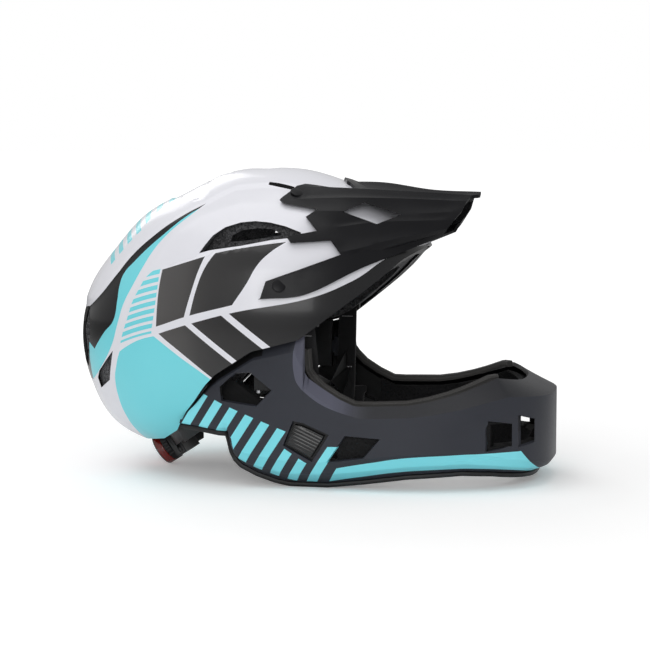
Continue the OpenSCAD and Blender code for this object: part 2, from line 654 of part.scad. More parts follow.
module visor() {
    right = [for (l = visor_lines) [for (p = l) on_visor([p[0], -p[1], p[2]])]];
    left = [for (l = visor_lines) [for (p = l) on_visor(p)]];
    lines = concat([for (i = [len(right) - 1:-1:1]) right[i]], left);
    top = [for (i = [0:visor_steps]) [for (l = lines)
        off_shell(through(l, 1 - i / visor_steps), visor_t + visor_seat + 0.6)]];
    under = [for (i = [0:visor_steps]) [for (j = [0:len(lines) - 1])
        off_shell(top[i][j] - visor_t * grid_dir(top, i, j), visor_seat)]];
    color(black) difference() {
        wall(top, under);
        both_sides() {
            for (gap = [finger_gap, finger_tip, visor_window])
                side_cut([for (p = gap) visor_side(p)], 30, deep);
            translate([0, 0, 180]) linear_extrude(80) polygon([for (p = ridge_gap) visor_above(p)]);
            for (s = plug_places) plug_line(s) {
                cylinder(h = 30, r = plug_r + run_gap, center = true, $fn = 24);
                translate([0, 0, visor_seat + visor_t - 0.3])
                    cylinder(h = 20, r = plug_head_r + run_gap, $fn = 24);
            }
        }
    }
}

// Plugs through the visor's fingers into the shell, at places given by turn and rise
plug_l = 8;
plug_head_r = plug_r + 2;
plug_head_h = 1.4;
plug_places = [[-71, 22], [-56, 58]];
module plug_line(s) {
    translate(dome_at(s[0], s[1], 0)) rotate([0, 90 - s[1], s[0]]) children();
}
module visor_plugs() {
    color(black) both_sides() for (s = plug_places) plug_line(s) {
        translate([0, 0, -shell_t - plug_l])
            cylinder(h = shell_t + plug_l + visor_seat + visor_t, r = plug_r, $fn = 24);
        translate([0, 0, visor_seat + visor_t]) cylinder(h = plug_head_h, r = plug_head_r, $fn = 24);
    }
}
module visor_sockets() {
    socket_floor = 0.8;
    color(black) both_sides() for (s = plug_places) plug_line(s)
        translate([0, 0, -shell_t - plug_l - socket_floor]) difference() {
            cylinder(h = plug_l - 1, r = plug_r + 1.5, $fn = 24);
            translate([0, 0, socket_floor]) cylinder(h = plug_l + 2, r = plug_r + shaft_gap, $fn = 24);
        }
}

// Webbing along a path of points, with the direction of its width at each
module webbing(path, widths) {
    n = len(path) - 1;
    function run(i) = path[min(i + 1, n)] - path[max(i - 1, 0)];
    function out(i) = let (c = cross(run(i), widths[i])) c / norm(c);
    function row(k, f) = [for (i = [0:n])
        path[i] + k * webbing_w / 2 * widths[i] / norm(widths[i]) + f * webbing_t / 2 * out(i)];
    wall([row(-1, 1), row(1, 1)], [row(-1, -1), row(1, -1)]);
}
// They move out with the shell's sides, in full above the divider and less towards the buckle
divider_y = 66.8;
buckle_y = 19.2;
function moved_out(path) = [for (p = path)
    let (share = min(max((-p[1] - buckle_y) / (divider_y - 1 - buckle_y), 0), 1))
    p - [0, side_shift * share, 0]];
front_path = moved_out([[5, -80.5, 120], [5.5, -77, 108], [6, -73, 94], [6, -70.5, 76], [6, -69, 58],
                        [5.5, -68.2, 48], [5, -68, 38.2]]);
rear_path = moved_out([[-70, -79, 84], [-62, -77, 77], [-40, -71, 60], [-20, -67.5, 48], [-7, -66, 42.5],
                       [1, -65.6, 38.2]]);
chin_path = moved_out([[4, -66.6, 28.3], [8, -60, 22], [13, -50, 16.5], [18, -40, 13], [22, -29, 11.2],
                       [24, -buckle_y, 11]]);
// Width directions: along the wearer's face, or square to the rear strap's slant
along = [1, 0, 0];
slanted = [0.57, 0, 0.82];
rear_widths = [along, slanted, slanted, slanted, [0.85, 0, 0.5], along];
function straight(path) = [for (p = path) along];
divider_at = [3, -divider_y - side_shift, 33.5];
divider_size = [26, 6, 9];

module front_strap_right() { color(black) webbing(front_path, straight(front_path)); }
module front_strap_left() { mirror([0, 1, 0]) front_strap_right(); }
module rear_strap_right() { color(black) webbing(rear_path, rear_widths); }
module rear_strap_left() { mirror([0, 1, 0]) rear_strap_right(); }
module chin_strap_right() { color(black) webbing(chin_path, straight(chin_path)); }
module chin_strap_left() { mirror([0, 1, 0]) chin_strap_right(); }

module strap_divider_right() { color(black) translate(divider_at) cube(divider_size, center = true); }
module strap_divider_left() { mirror([0, 1, 0]) strap_divider_right(); }

// Anchor plates in pockets of the liner, open downwards where the webbing comes out
anchor_size = [20, 6, 12];
module anchor_block(at, grow) {
    drop = grow > 0 ? 12 : 0;
    translate([at[0] - anchor_size[0] / 2 - grow, at[1] - anchor_size[1] / 2 - grow, at[2] + 0.2 - drop])
        cube([anchor_size[0] + 2 * grow, anchor_size[1] + 2 * grow, anchor_size[2] + drop + grow]);
}
module strap_anchors() {
    color(black) both_sides() {
        anchor_block(front_path[0], 0);
        anchor_block(rear_path[0], 0);
    }
}

// Side-release buckle under the chin: socket on the left, clip on the right
buckle_at = [24, 0, 11];
buckle_w = 24;
buckle_t = 7;
module buckle_socket() {
    color(black) translate(buckle_at) difference() {
        translate([-buckle_w / 2, -2, -buckle_t / 2]) cube([buckle_w, 21, buckle_t]);
        translate([-buckle_w / 2 + 3, -3, -buckle_t / 2 + 1.6]) cube([buckle_w - 6, 15, buckle_t - 3.2]);
    }
}
module buckle_clip() {
    color(black) translate(buckle_at) {
        translate([-buckle_w / 2, -19, -buckle_t / 2]) cube([buckle_w, 17 - run_gap, buckle_t]);
        for (x = [-buckle_w / 2 + 3 + run_gap, buckle_w / 2 - 7 - run_gap])
            translate([x, -4, -buckle_t / 2 + 1.6 + run_gap]) cube([4, 14, buckle_t - 3.2 - 2 * run_gap]);
    }
}

// Fit system, in a frame whose axis is the bands' and whose -X runs out through the knob
nape_tilt = -33.7;
face_r = band_r + 16.5;
nape_c = [-62, 0, face_r * sin(-nape_tilt) + (knob_r + 0.1) * cos(nape_tilt)];
module nape_frame() { translate(nape_c) rotate([0, nape_tilt, 0]) children(); }
module dial_axis(r) { nape_frame() translate([-r, 0, 0]) rotate([0, -90, 0]) children(); }
module arc_wall(r0, r1, z0, z1, from, sweep) {
    rotate([0, 0, from]) rotate_extrude(angle = sweep, $fn = 180)
        translate([r0, z0]) square([r1 - r0, z1 - z0]);
}
band_in = band_r - band_t / 2;
band_out = band_r + band_t / 2;
pinion_teeth = 12;
tooth_h = 2;
rack_z = pinion_r + 1.1;
rack_h = 3.2;
housing_in = band_in - 2.4;
housing_out = band_out + 4;
housing_half = rack_z + rack_h + run_gap + 2;
housing_deg = 18;
knob_base = housing_out + run_gap;
case_base = knob_base + knob_h + run_gap;
case_floor = 0.8;
case_r = knob_r - 1.7;
cell_t = 1.6;
cell_r = 8;
lens_roof = 1.4;

module dial_housing() {
    color(black) {
        difference() {
            nape_frame() arc_wall(housing_in, housing_out, -housing_half, housing_half,
                                  180 - housing_deg, 2 * housing_deg);
            nape_frame() arc_wall(band_in - run_gap, band_out + run_gap,
                                  -housing_half + 2, housing_half - 2,
                                  180 - housing_deg - 5, 2 * housing_deg + 10);
            dial_axis(band_in - 1) cylinder(h = 12, r = pinion_r + 1.6, $fn = 48);
        }
        dial_axis(housing_in + 1) cylinder(h = case_base - housing_in - 1, r = spindle_r, $fn = 48);
    }
}

module dial_knob() {
    ribs = 24;
    color(black) dial_axis(knob_base) difference() {
        cylinder(h = knob_h, r = knob_r, $fn = 96);
        translate([0, 0, -1]) cylinder(h = knob_h + 2, r = spindle_r + shaft_gap, $fn = 48);
        for (k = [0:ribs - 1]) rotate(k * 360 / ribs)
            translate([knob_r + 0.7, 0, -1]) cylinder(h = knob_h + 2, r = 1.2, $fn = 16);
    }
}

module dial_pinion() {
    tooth = 360 / pinion_teeth;
    color(black) dial_axis(band_in) difference() {
        union() {
            cylinder(h = band_t, r = pinion_r - 0.9, $fn = 48);
            for (k = [0:pinion_teeth - 1]) rotate(k * tooth)
                linear_extrude(band_t) polygon([[pinion_r - 1.1, -0.85], [pinion_r + 0.9, -0.35],
                                                [pinion_r + 0.9, 0.35], [pinion_r - 1.1, 0.85]]);
            translate([0, 0, band_t]) cylinder(h = knob_base - band_out, r = pinion_r - 0.4, $fn = 48);
        }
        translate([0, 0, -1]) cylinder(h = 20, r = spindle_r + shaft_gap, $fn = 48);
    }
}

// The left band: a wide strip beside the head, a narrow neck that passes the other band's teeth, a
// shoulder and a toothed arm under the pinion. The right band is the same one turned over.
pitch_deg = 360 / pinion_teeth * pinion_r / band_r;
rack_teeth = 12;
tooth_root_deg = 0.7;
tooth_tip_deg = 0.26;
strip_to = 82;
neck_from = 136;
neck_half = rack_z - tooth_h - 0.5;
shoulder_from = 152;
arm_from = 158;
arm_end = 198.6;
step_deg = 0.3;
// Turn, lower edge and upper edge at each place along the band
function band_edges() =
    let (bottom = -rack_z - rack_h, tip = -rack_z + tooth_h - 0.1, half = band_h / 2)
    concat([for (q = [strip_to:3:neck_from]) [q, -half, half]],
           [for (q = [neck_from + step_deg:4:shoulder_from]) [q, -neck_half, neck_half]],
           [for (q = [shoulder_from + step_deg, arm_from]) [q, bottom, neck_half]],
           [for (q = [arm_from + step_deg, arm_from + 3]) [q, bottom, -rack_z]],
           [for (k = [0:rack_teeth - 1])
               let (q = 180 + (k - (rack_teeth - 1) / 2) * pitch_deg)
               each [[q - tooth_root_deg, bottom, -rack_z], [q - tooth_tip_deg, bottom, tip],
                     [q + tooth_tip_deg, bottom, tip], [q + tooth_root_deg, bottom, -rack_z]]],
           [[arm_end, bottom, -rack_z]]);
module band(turn_over) {
    edges = band_edges();
    function face(r) = [for (m = [1, 2]) [for (e = edges) [r * cos(e[0]), r * sin(e[0]), e[m]]]];
    color(black) nape_frame() rotate([turn_over, 0, 0]) wall(face(band_out), face(band_in));
}
// Room that the bands keep in the liner
module band_room() {
    nape_frame() arc_wall(band_in - run_gap, band_out + run_gap,
                          -band_h / 2 - run_gap, band_h / 2 + run_gap,
                          strip_to - 15, 2 * (195 - strip_to));
}
module band_right() { band(180); }
module band_left() { band(0); }

// Guides for the bands beside the head, on arms that go up into the liner
guide_from = -112;
guide_deg = 14;
guide_wall = 1.5;
arm_top = 34;
module arm_plate(grow) {
    nape_frame() arc_wall(band_in - run_gap - guide_wall - grow, band_out + run_gap + guide_wall + grow,
                          band_h / 2 + 1 - grow, arm_top + grow, guide_from + 4 - 0.3 * grow * 10,
                          guide_deg - 8 + 0.6 * grow * 10);
}
module temple_arm_right() {
    color(black) difference() {
        union() {
            nape_frame() arc_wall(band_in - run_gap - guide_wall, band_out + run_gap + guide_wall,
                                  -band_h / 2 - 2, band_h / 2 + 2, guide_from, guide_deg);
            arm_plate(0);
        }
        nape_frame() arc_wall(band_in - run_gap, band_out + run_gap,
                              -band_h / 2 - run_gap, band_h / 2 + run_gap,
                              guide_from - 2, guide_deg + 4);
    }
}
module temple_arm_left() { mirror([0, 1, 0]) temple_arm_right(); }

// Curved plate from the liner's nape down to the top of the housing
bracket_top = 30;
bracket_deg = 12;
module bracket_plate(grow) {
    nape_frame() arc_wall(band_r - 1.8 - grow, band_r + 1.8 + grow, housing_half + 0.1 - (grow > 0 ? 1 : 0),
                          bracket_top + grow, 180 - bracket_deg - grow, 2 * bracket_deg + 2 * grow);
}
module nape_bracket() { color(charcoal) bracket_plate(0); }

// Rear light on the end of the spindle: tray, cell, board, button and the red lens over them
board_at = case_base + case_floor + cell_t + 0.1;
module light_case() {
    color(black) dial_axis(case_base) difference() {
        cylinder(h = case_floor + cell_t, r = case_r, $fn = 64);
        translate([0, 0, case_floor]) cylinder(h = 10, r = cell_r + 0.2, $fn = 64);
    }
}
module coin_cell() {
    color(steel) dial_axis(case_base + case_floor) cylinder(h = cell_t, r = cell_r, $fn = 64);
}
module light_board() {
    color("#1f6b3a") dial_axis(board_at) cylinder(h = 0.6, r = cell_r + 1.5, $fn = 64);
}
module light_lens() {
    color(red) dial_axis(case_base) difference() {
        cylinder(h = face_r - case_base, r = knob_r, $fn = 96);
        translate([0, 0, -1]) cylinder(h = face_r - case_base - lens_roof + 1, r = case_r + 0.1, $fn = 64);
        cylinder(h = 30, r = light_button_r + run_gap, $fn = 64);
    }
}
module light_button() {
    color(red) dial_axis(board_at + 0.7 + light_travel)
        cylinder(h = face_r + 0.3 - board_at - 0.7 - light_travel, r = light_button_r, $fn = 64);
}

outer_shell();
foam_liner();
brow_trim();
nape_trim();
visor();
visor_plugs();
visor_sockets();
brow_pad();
crown_pad();
side_pad_left();
side_pad_right();
rear_pad();
cheek_pad_left();
cheek_pad_right();
cheek_block_left();
cheek_block_right();
guard_mount_left();
guard_mount_right();
mount_screws();
guard_shell();
guard_foam();
guard_edge_trim();
port_trim();
guard_tongue_left();
guard_tongue_right();
latch_housing_left();
latch_housing_right();
latch_button_left();
latch_button_right();
latch_spring_left();
latch_spring_right();
front_strap_left();
front_strap_right();
rear_strap_left();
rear_strap_right();
strap_anchors();
strap_divider_left();
strap_divider_right();
chin_strap_left();
chin_strap_right();
buckle_socket();
buckle_clip();
nape_bracket();
dial_housing();
dial_knob();
dial_pinion();
band_left();
band_right();
temple_arm_left();
temple_arm_right();
light_case();
light_lens();
light_button();
light_board();
coin_cell();
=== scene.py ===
import json
import math

import bpy
import numpy as np
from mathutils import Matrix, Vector


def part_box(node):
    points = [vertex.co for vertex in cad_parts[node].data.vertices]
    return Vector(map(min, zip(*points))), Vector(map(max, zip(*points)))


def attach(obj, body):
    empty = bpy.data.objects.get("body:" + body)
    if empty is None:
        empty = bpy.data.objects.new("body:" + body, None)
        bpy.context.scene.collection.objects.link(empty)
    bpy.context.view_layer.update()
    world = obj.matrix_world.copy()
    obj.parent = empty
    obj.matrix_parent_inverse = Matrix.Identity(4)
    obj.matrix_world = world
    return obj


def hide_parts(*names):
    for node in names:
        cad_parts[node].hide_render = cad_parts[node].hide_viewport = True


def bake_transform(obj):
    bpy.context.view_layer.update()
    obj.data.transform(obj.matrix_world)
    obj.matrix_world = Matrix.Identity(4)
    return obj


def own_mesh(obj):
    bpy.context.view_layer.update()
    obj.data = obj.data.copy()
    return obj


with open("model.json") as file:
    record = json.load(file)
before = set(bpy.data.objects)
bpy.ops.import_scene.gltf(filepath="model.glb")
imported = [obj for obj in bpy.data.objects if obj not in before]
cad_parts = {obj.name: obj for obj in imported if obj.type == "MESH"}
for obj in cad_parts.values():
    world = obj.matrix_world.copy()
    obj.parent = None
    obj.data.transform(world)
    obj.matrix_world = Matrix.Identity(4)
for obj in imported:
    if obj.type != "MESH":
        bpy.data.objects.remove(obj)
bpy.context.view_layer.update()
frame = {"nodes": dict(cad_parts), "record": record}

MM = 0.001
WELD = 0.01 * MM  # points closer than this become one
CAD_WELD = 0.02 * MM
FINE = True
BODY = {node: body for body, nodes in frame["record"]["behaviour"]["bodies"].items() for node in nodes}


# Making meshes

def deselect():
    bpy.ops.object.select_all(action="DESELECT")


def active(obj):
    deselect()
    bpy.context.view_layer.objects.active = obj
    obj.select_set(True)
    return obj


def in_edit(obj, *steps):
    """Runs edit-mode steps on every part of obj."""
    active(obj)
    bpy.ops.object.mode_set(mode="EDIT")
    bpy.ops.mesh.select_all(action="SELECT")
    for step in steps:
        step()
    bpy.ops.object.mode_set(mode="OBJECT")
    return obj


def merge(distance=WELD):
    return lambda: bpy.ops.mesh.remove_doubles(threshold=distance)


def outward():
    bpy.ops.mesh.normals_make_consistent(inside=False)


def points_of(obj):
    co = np.empty(len(obj.data.vertices) * 3)
    obj.data.vertices.foreach_get("co", co)
    return co.reshape(-1, 3)


def set_points(obj, co):
    obj.data.vertices.foreach_set("co", np.asarray(co, float).ravel())
    obj.data.update()


def shaped_grid(name, across, along, place):
    """A grid whose points are moved to place(u, v), u and v from 0 to 1, with du x dv pointing outwards.
    Its UV map keeps u and v. place gives millimetres."""
    bpy.ops.mesh.primitive_grid_add(x_subdivisions=across, y_subdivisions=along, size=2, calc_uvs=True)
    obj = bpy.context.active_object
    obj.name = obj.data.name = name
    co = points_of(obj)
    u, v = (co[:, 0] + 1) / 2, (co[:, 1] + 1) / 2
    set_points(obj, np.stack(place(u, v), axis=1) * MM)
    return in_edit(obj, merge())


def modify(obj, kind, **settings):
    active(obj)
    modifier = obj.modifiers.new(kind.lower(), kind)
    for key, value in settings.items():
        setattr(modifier, key, value)
    bpy.ops.object.modifier_apply(modifier=modifier.name)
    return obj


def walled(obj, thickness):
    """Gives a skin its thickness. The faces inside and at the edges move 2 along in the UV map, so that a
    material can tell them and paint them dark as painted shade."""
    faces = len(obj.data.polygons)
    modify(obj, "SOLIDIFY", thickness=thickness * MM, offset=-1, use_even_offset=True)
    uv = obj.data.uv_layers.active.data
    for face in list(obj.data.polygons)[faces:]:
        for k in face.loop_indices:
            uv[k].uv.x += 2
    return obj


def smooth(obj, degrees=30):
    active(obj)
    bpy.ops.object.shade_smooth_by_angle(angle=math.radians(degrees))
    return obj


def grown(outline, by):
    """The outline with each corner moved out along the mean of its two edges' normals."""
    points = np.array(outline, float)
    turn = np.sum(points[:, 0] * np.roll(points[:, 1], -1) - np.roll(points[:, 0], -1) * points[:, 1])
    edge = np.roll(points, -1, axis=0) - points
    normal = np.stack([edge[:, 1], -edge[:, 0]], axis=1) / lengths(edge)
    normal *= 1 if turn > 0 else -1
    mean = normal + np.roll(normal, 1, axis=0)
    return points + by * 2 * mean / np.sum(mean * mean, axis=1)[:, None]


def prism(outline, near, far, axis="y", flare=0.0):
    """A cutter: the outline at near, and grown by flare at far."""
    bpy.ops.mesh.primitive_circle_add(vertices=len(outline), fill_type="NGON")
    obj = bpy.context.active_object
    in_edit(obj, lambda: bpy.ops.mesh.extrude_region_move(TRANSFORM_OT_translate={"value": (0, 0, 1)}))
    co = points_of(obj)
    top = co[:, 2] > 0.5
    turn = np.arctan2(co[:, 1], co[:, 0]) / (2 * math.pi) - 0.25
    corner = np.round(turn * len(outline)).astype(int) % len(outline)
    flat = np.where(top[:, None], grown(outline, flare)[corner], np.array(outline, float)[corner])
    deep = np.where(top, far, near)
    a, b = flat[:, 0], flat[:, 1]
    columns = {"y": (a, deep, b), "z": (a, b, deep), "x": (deep, a, b)}[axis]
    set_points(obj, np.stack(columns, axis=1) * MM)
    return in_edit(obj, outward)


def cut(obj, cutters):
    """Takes the cutters out of obj."""
    for cutter in cutters:
        modify(obj, "BOOLEAN", operation="DIFFERENCE", object=cutter, solver="EXACT")
        bpy.data.objects.remove(cutter, do_unlink=True)
    return obj


def dark(cutters):
    """Gives cutters a UV map that paints the walls they leave as an inner face, dark as painted shade."""
    for cutter in cutters:
        for loop in cutter.data.uv_layers.active.data:
            loop.uv.x += 2
    return cutters


def both(outline, near, far, flare=0.0):
    """The same cutter on the right and the left side."""
    return [prism(outline, -near, -far, "y", flare), prism(outline, near, far, "y", flare)]


def linked(obj):
    bpy.context.scene.collection.objects.link(obj)
    return obj


def duplicate(source, name):
    obj = source.copy()
    obj.data = source.data.copy()
    obj.name = obj.data.name = name
    return linked(obj)


def copy_of(node, name, angle=1.0):
    """A copy of a CAD node, merged and with its flat faces joined up."""
    obj = duplicate(frame["nodes"][node], name)
    obj.parent = None
    for key in list(obj.keys()):
        del obj[key]
    obj.hide_render = obj.hide_viewport = False

    def join_flats():
        bpy.ops.mesh.dissolve_limited(angle_limit=math.radians(angle))

    return in_edit(obj, merge(CAD_WELD), join_flats)


def painted(obj, material):
    obj.data.materials.clear()
    obj.data.materials.append(material)
    return obj


def stand_for(obj, node, material):
    """obj replaces the CAD node and rides on its body."""
    deselect()
    painted(obj, material)
    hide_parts(node)
    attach(obj, BODY[node])
    return obj


def eased(obj, width, angle=30, segments=2):
    """Rounds over the edges that turn by more than angle."""
    return modify(obj, "BEVEL", width=width * MM, segments=segments, limit_method="ANGLE",
                  angle_limit=math.radians(angle))


def rounded(node, material, width, segments):
    """A CAD node with its edges rounded over."""
    obj = eased(copy_of(node, node + "_skin"), width, segments=segments)
    return stand_for(smooth(obj, 40), node, material)


def mirrored(obj, name):
    twin = duplicate(obj, name)
    set_points(twin, points_of(twin) * [1, -1, 1])
    return in_edit(twin, bpy.ops.mesh.flip_normals)


def ease(f):
    """0 below 0 and 1 above 1, with a smooth rise between."""
    f = np.clip(f, 0, 1)
    return f * f * (3 - 2 * f)


def lengths(rows):
    return np.linalg.norm(rows, axis=1)[:, None]


def split(place, cells):
    """The whole cells before a place from 0 to cells, and the share of its own."""
    place = np.clip(place, 0, cells - 0.0001)
    i = place.astype(int)
    return i, place - i


def spline(before, start, end, after, f):
    """A smooth curve from start to end, at share f between them."""
    third = 3 * (start - end) + after - before
    return start + f / 2 * (end - before + f * (2 * before - 5 * start + 4 * end - after + f * third))


def along(table, s):
    """Places on a smooth line through the rows of table, the rows being at 0, 1, 2 and so on."""
    i = np.minimum(s.astype(int), len(table) - 2)
    rows = np.concatenate([2 * table[:1] - table[1:2], table, 2 * table[-1:] - table[-2:-1]])
    return spline(rows[i], rows[i + 1], rows[i + 2], rows[i + 3], (s - i)[:, None])


def look(table, x):
    """The height of a line of points above x."""
    return np.interp(x, table[:, 0], table[:, 1])


# Shape of the shell, as in the CAD source, in millimetres and degrees

DOME_C = np.array([-45.0, 0.0, 107.5])
REAR = np.array([123, 138.5, 142.5, 144, 140, 132, 129, 124.5, 126, 127.0])
FRONT = np.array([135, 135, 135, 137, 142, 148, 142, 133.5, 130, 127.0])
SIDE = np.array([96, 99, 102, 104, 108, 114, 119, 122, 125, 127.0])
RIM = np.array([[-200, 22], [-133, 29], [-111, 33], [-97, 41.7], [-85.5, 58.3], [-77.5, 67], [-67.5, 79.7],
                [-59, 88], [-43, 98.3], [-31, 106], [-9, 111.7], [3, 114.7], [25, 131.5], [46.5, 148.3],
                [59.5, 159.4], [71.5, 171], [80, 176.4], [92, 184], [130, 200]])
OUTLINE_FROM, OUTLINE_STEP = -45, 15  # rises of REAR, FRONT and SIDE
SIDE_POWER, CROWN_POWER = 2.25, 2.0
SHELL_T = 2.0
LAP = 3.0  # how far the shell comes down over the rim line
LOWEST, HIGHEST, HALVINGS = -75.0, 60.0, 24  # the search for the rim's rise


def along_outline(values, a):
    """An outline's radius at rise a. It comes to the crown level."""
    rows = np.concatenate([2 * values[:1] - values[1:2], values, values[-2:-1]])
    i, f = split((a - OUTLINE_FROM) / OUTLINE_STEP, len(values) - 1)
    return spline(rows[i], rows[i + 1], rows[i + 2], rows[i + 3], f)


def dome_r(t, a):
    """Radius of the dome at turn t and rise a: an ellipse in plan whose power falls towards the crown."""
    c, s = np.abs(np.cos(np.radians(t))), np.abs(np.sin(np.radians(t)))
    mid = np.where(np.cos(np.radians(t)) > 0, along_outline(FRONT, a), along_outline(REAR, a))
    n = SIDE_POWER - (SIDE_POWER - CROWN_POWER) * np.where(a > 0, np.sin(np.radians(a)) ** 2, 0)
    return ((c / mid) ** n + (s / along_outline(SIDE, a)) ** n) ** (-1 / n)


def dome_at(t, a, depth=0.0):
    r = dome_r(t, a) - depth
    ta, aa = np.radians(t), np.radians(a)
    return (DOME_C[0] + r * np.cos(aa) * np.cos(ta), r * np.cos(aa) * np.sin(ta), DOME_C[2] + r * np.sin(aa))


def rim_rise(t, depth, drop):
    """The rise at which the dome, depth inside its surface, meets the rim line lowered by drop."""
    low, high = np.full_like(t, LOWEST), np.full_like(t, HIGHEST)
    for _ in range(HALVINGS):
        middle = (low + high) / 2
        x, _y, z = dome_at(t, middle, depth)
        above = z > look(RIM, x) - drop
        high, low = np.where(above, middle, high), np.where(above, low, middle)
    return (low + high) / 2


# Lines of the shell's paintwork and relief, seen from the side

OUTER_EDGE = [
    (126.5, -176.7), (136.6, -161.8), (154.1, -144.7), (170.9, -130.3), (186, -112.8), (198.7, -94.9),
    (209.7, -75.2)]
BLACK_EDGE = [
    (98.1, -163.7), (112.4, -151.9), (122.1, -142.8), (137.1, -139.8), (147.3, -139), (156.1, -136.6),
    (166.8, -127), (175.8, -117.6), (186.3, -105.3), (200.3, -88.5), (208, -76)]
TEAL_EDGE = [
    (74.2, -168.6), (82.1, -160), (103.2, -144.7), (119.4, -138.9), (134.5, -133.8), (149.6, -125.8),
    (162.9, -118.5), (174.6, -111.6), (186.4, -101.8), (201.1, -85.3), (209.7, -75.2)]
ARC = np.array([
    (-118, 155), (-112.9, 161.7), (-97.5, 183.7), (-77.7, 198.4), (-48.8, 207.2), (-18.5, 206.7),
    (4.4, 201.8), (30, 193)])
UNDER_ARC = np.array([
    (-118, 154), (-101, 162.5), (-72.7, 173), (-41.3, 179), (-19.5, 183.4), (-8, 185), (30, 189)])
SPINE = np.array([(-75, 62), (-54, 48), (-32, 45), (20, 42), (60, 36)])
RIDGE_RISE, RIDGE_W = 0.9, 6.0
SCOOP_DEPTH = 1.5
STEP_RISE = 1.3  # of the raised back and crown


def relief(x, y, z):
    """How far the shell stands out from the plain dome."""
    y = np.abs(y)
    high, low = look(ARC, x), look(UNDER_ARC, x)
    # A scoop from the arc down to the crease under it, fading out at its ends and towards the crown
    f = (high - z) / np.maximum(high - low, 1)
    scoop = np.where(f < 1, ease(f), 1 - ease((f - 1) * (high - low) / 1.2))
    ends = ease((x + 117) / 22) * ease((32 - x) / 30) * ease((y - 28) / 14)
    ridge = np.exp(-((z - high) / RIDGE_W) ** 2) * ends
    # Raised areas behind the swoosh and along the crown
    back = ease((look(np.array(OUTER_EDGE), z) - x) / 5 + 0.5) * ease((z - 128) / 8) * (z < 212)
    top = ease((look(SPINE, x) - y) / 6 + 0.5) * ease((x + 86) / 10) * ease((70 - x) / 50) * (z > 190)
    return RIDGE_RISE * ridge - SCOOP_DEPTH * scoop * ends + STEP_RISE * np.maximum(back, top)


def shell_place(u, v):
    t = u * 360
    low = rim_rise(t, SHELL_T + 0.2, LAP)
    a = low + (90 - low) * v
    x, y, z = dome_at(t, a)
    out = relief(x, y, z)
    return dome_at(t, np.minimum(a, 90), -out * ease((90 - a) / 6))


# Colours, in linear light

def srgb(*channels):
    """A colour as a screen shows it, each channel 0 to 255."""
    shares = [c / 255 for c in channels]
    return tuple(s / 12.92 if s <= 0.04045 else ((s + 0.055) / 1.055) ** 2.4 for s in shares) + (1,)


WHITE = srgb(233, 233, 239)
TEAL = srgb(118, 219, 230)
PANEL = srgb(26, 26, 28)
PITCH = srgb(19, 19, 20)
CHARCOAL = srgb(46, 48, 55)
VISOR_BLACK = srgb(14, 14, 17)

WEB_W, WEB_T = 15.0, 1.5
STITCH_W = 0.35  # half the width of a row of stitches


# Materials: a wire carries a value, and arithmetic on it adds Math nodes

class Wire:
    def __init__(self, paint, socket):
        self.paint, self.socket = paint, socket

    def math(self, operation, *others):
        return self.paint.node("Math", (self,) + others, operation=operation)

    def __add__(self, other): return self.math("ADD", other)
    __radd__ = __add__
    def __sub__(self, other): return self.math("SUBTRACT", other)
    def __rsub__(self, other): return (self * -1) + other
    def __mul__(self, other): return self.math("MULTIPLY", other)
    __rmul__ = __mul__
    def __truediv__(self, other): return self.math("DIVIDE", other)
    def __lt__(self, other): return self.math("LESS_THAN", other)
    def __gt__(self, other): return self.math("GREATER_THAN", other)
    def __abs__(self): return self.math("ABSOLUTE")
    def __invert__(self): return 1 - self
    __and__ = __mul__
    def __or__(self, other): return self.math("MAXIMUM", other)


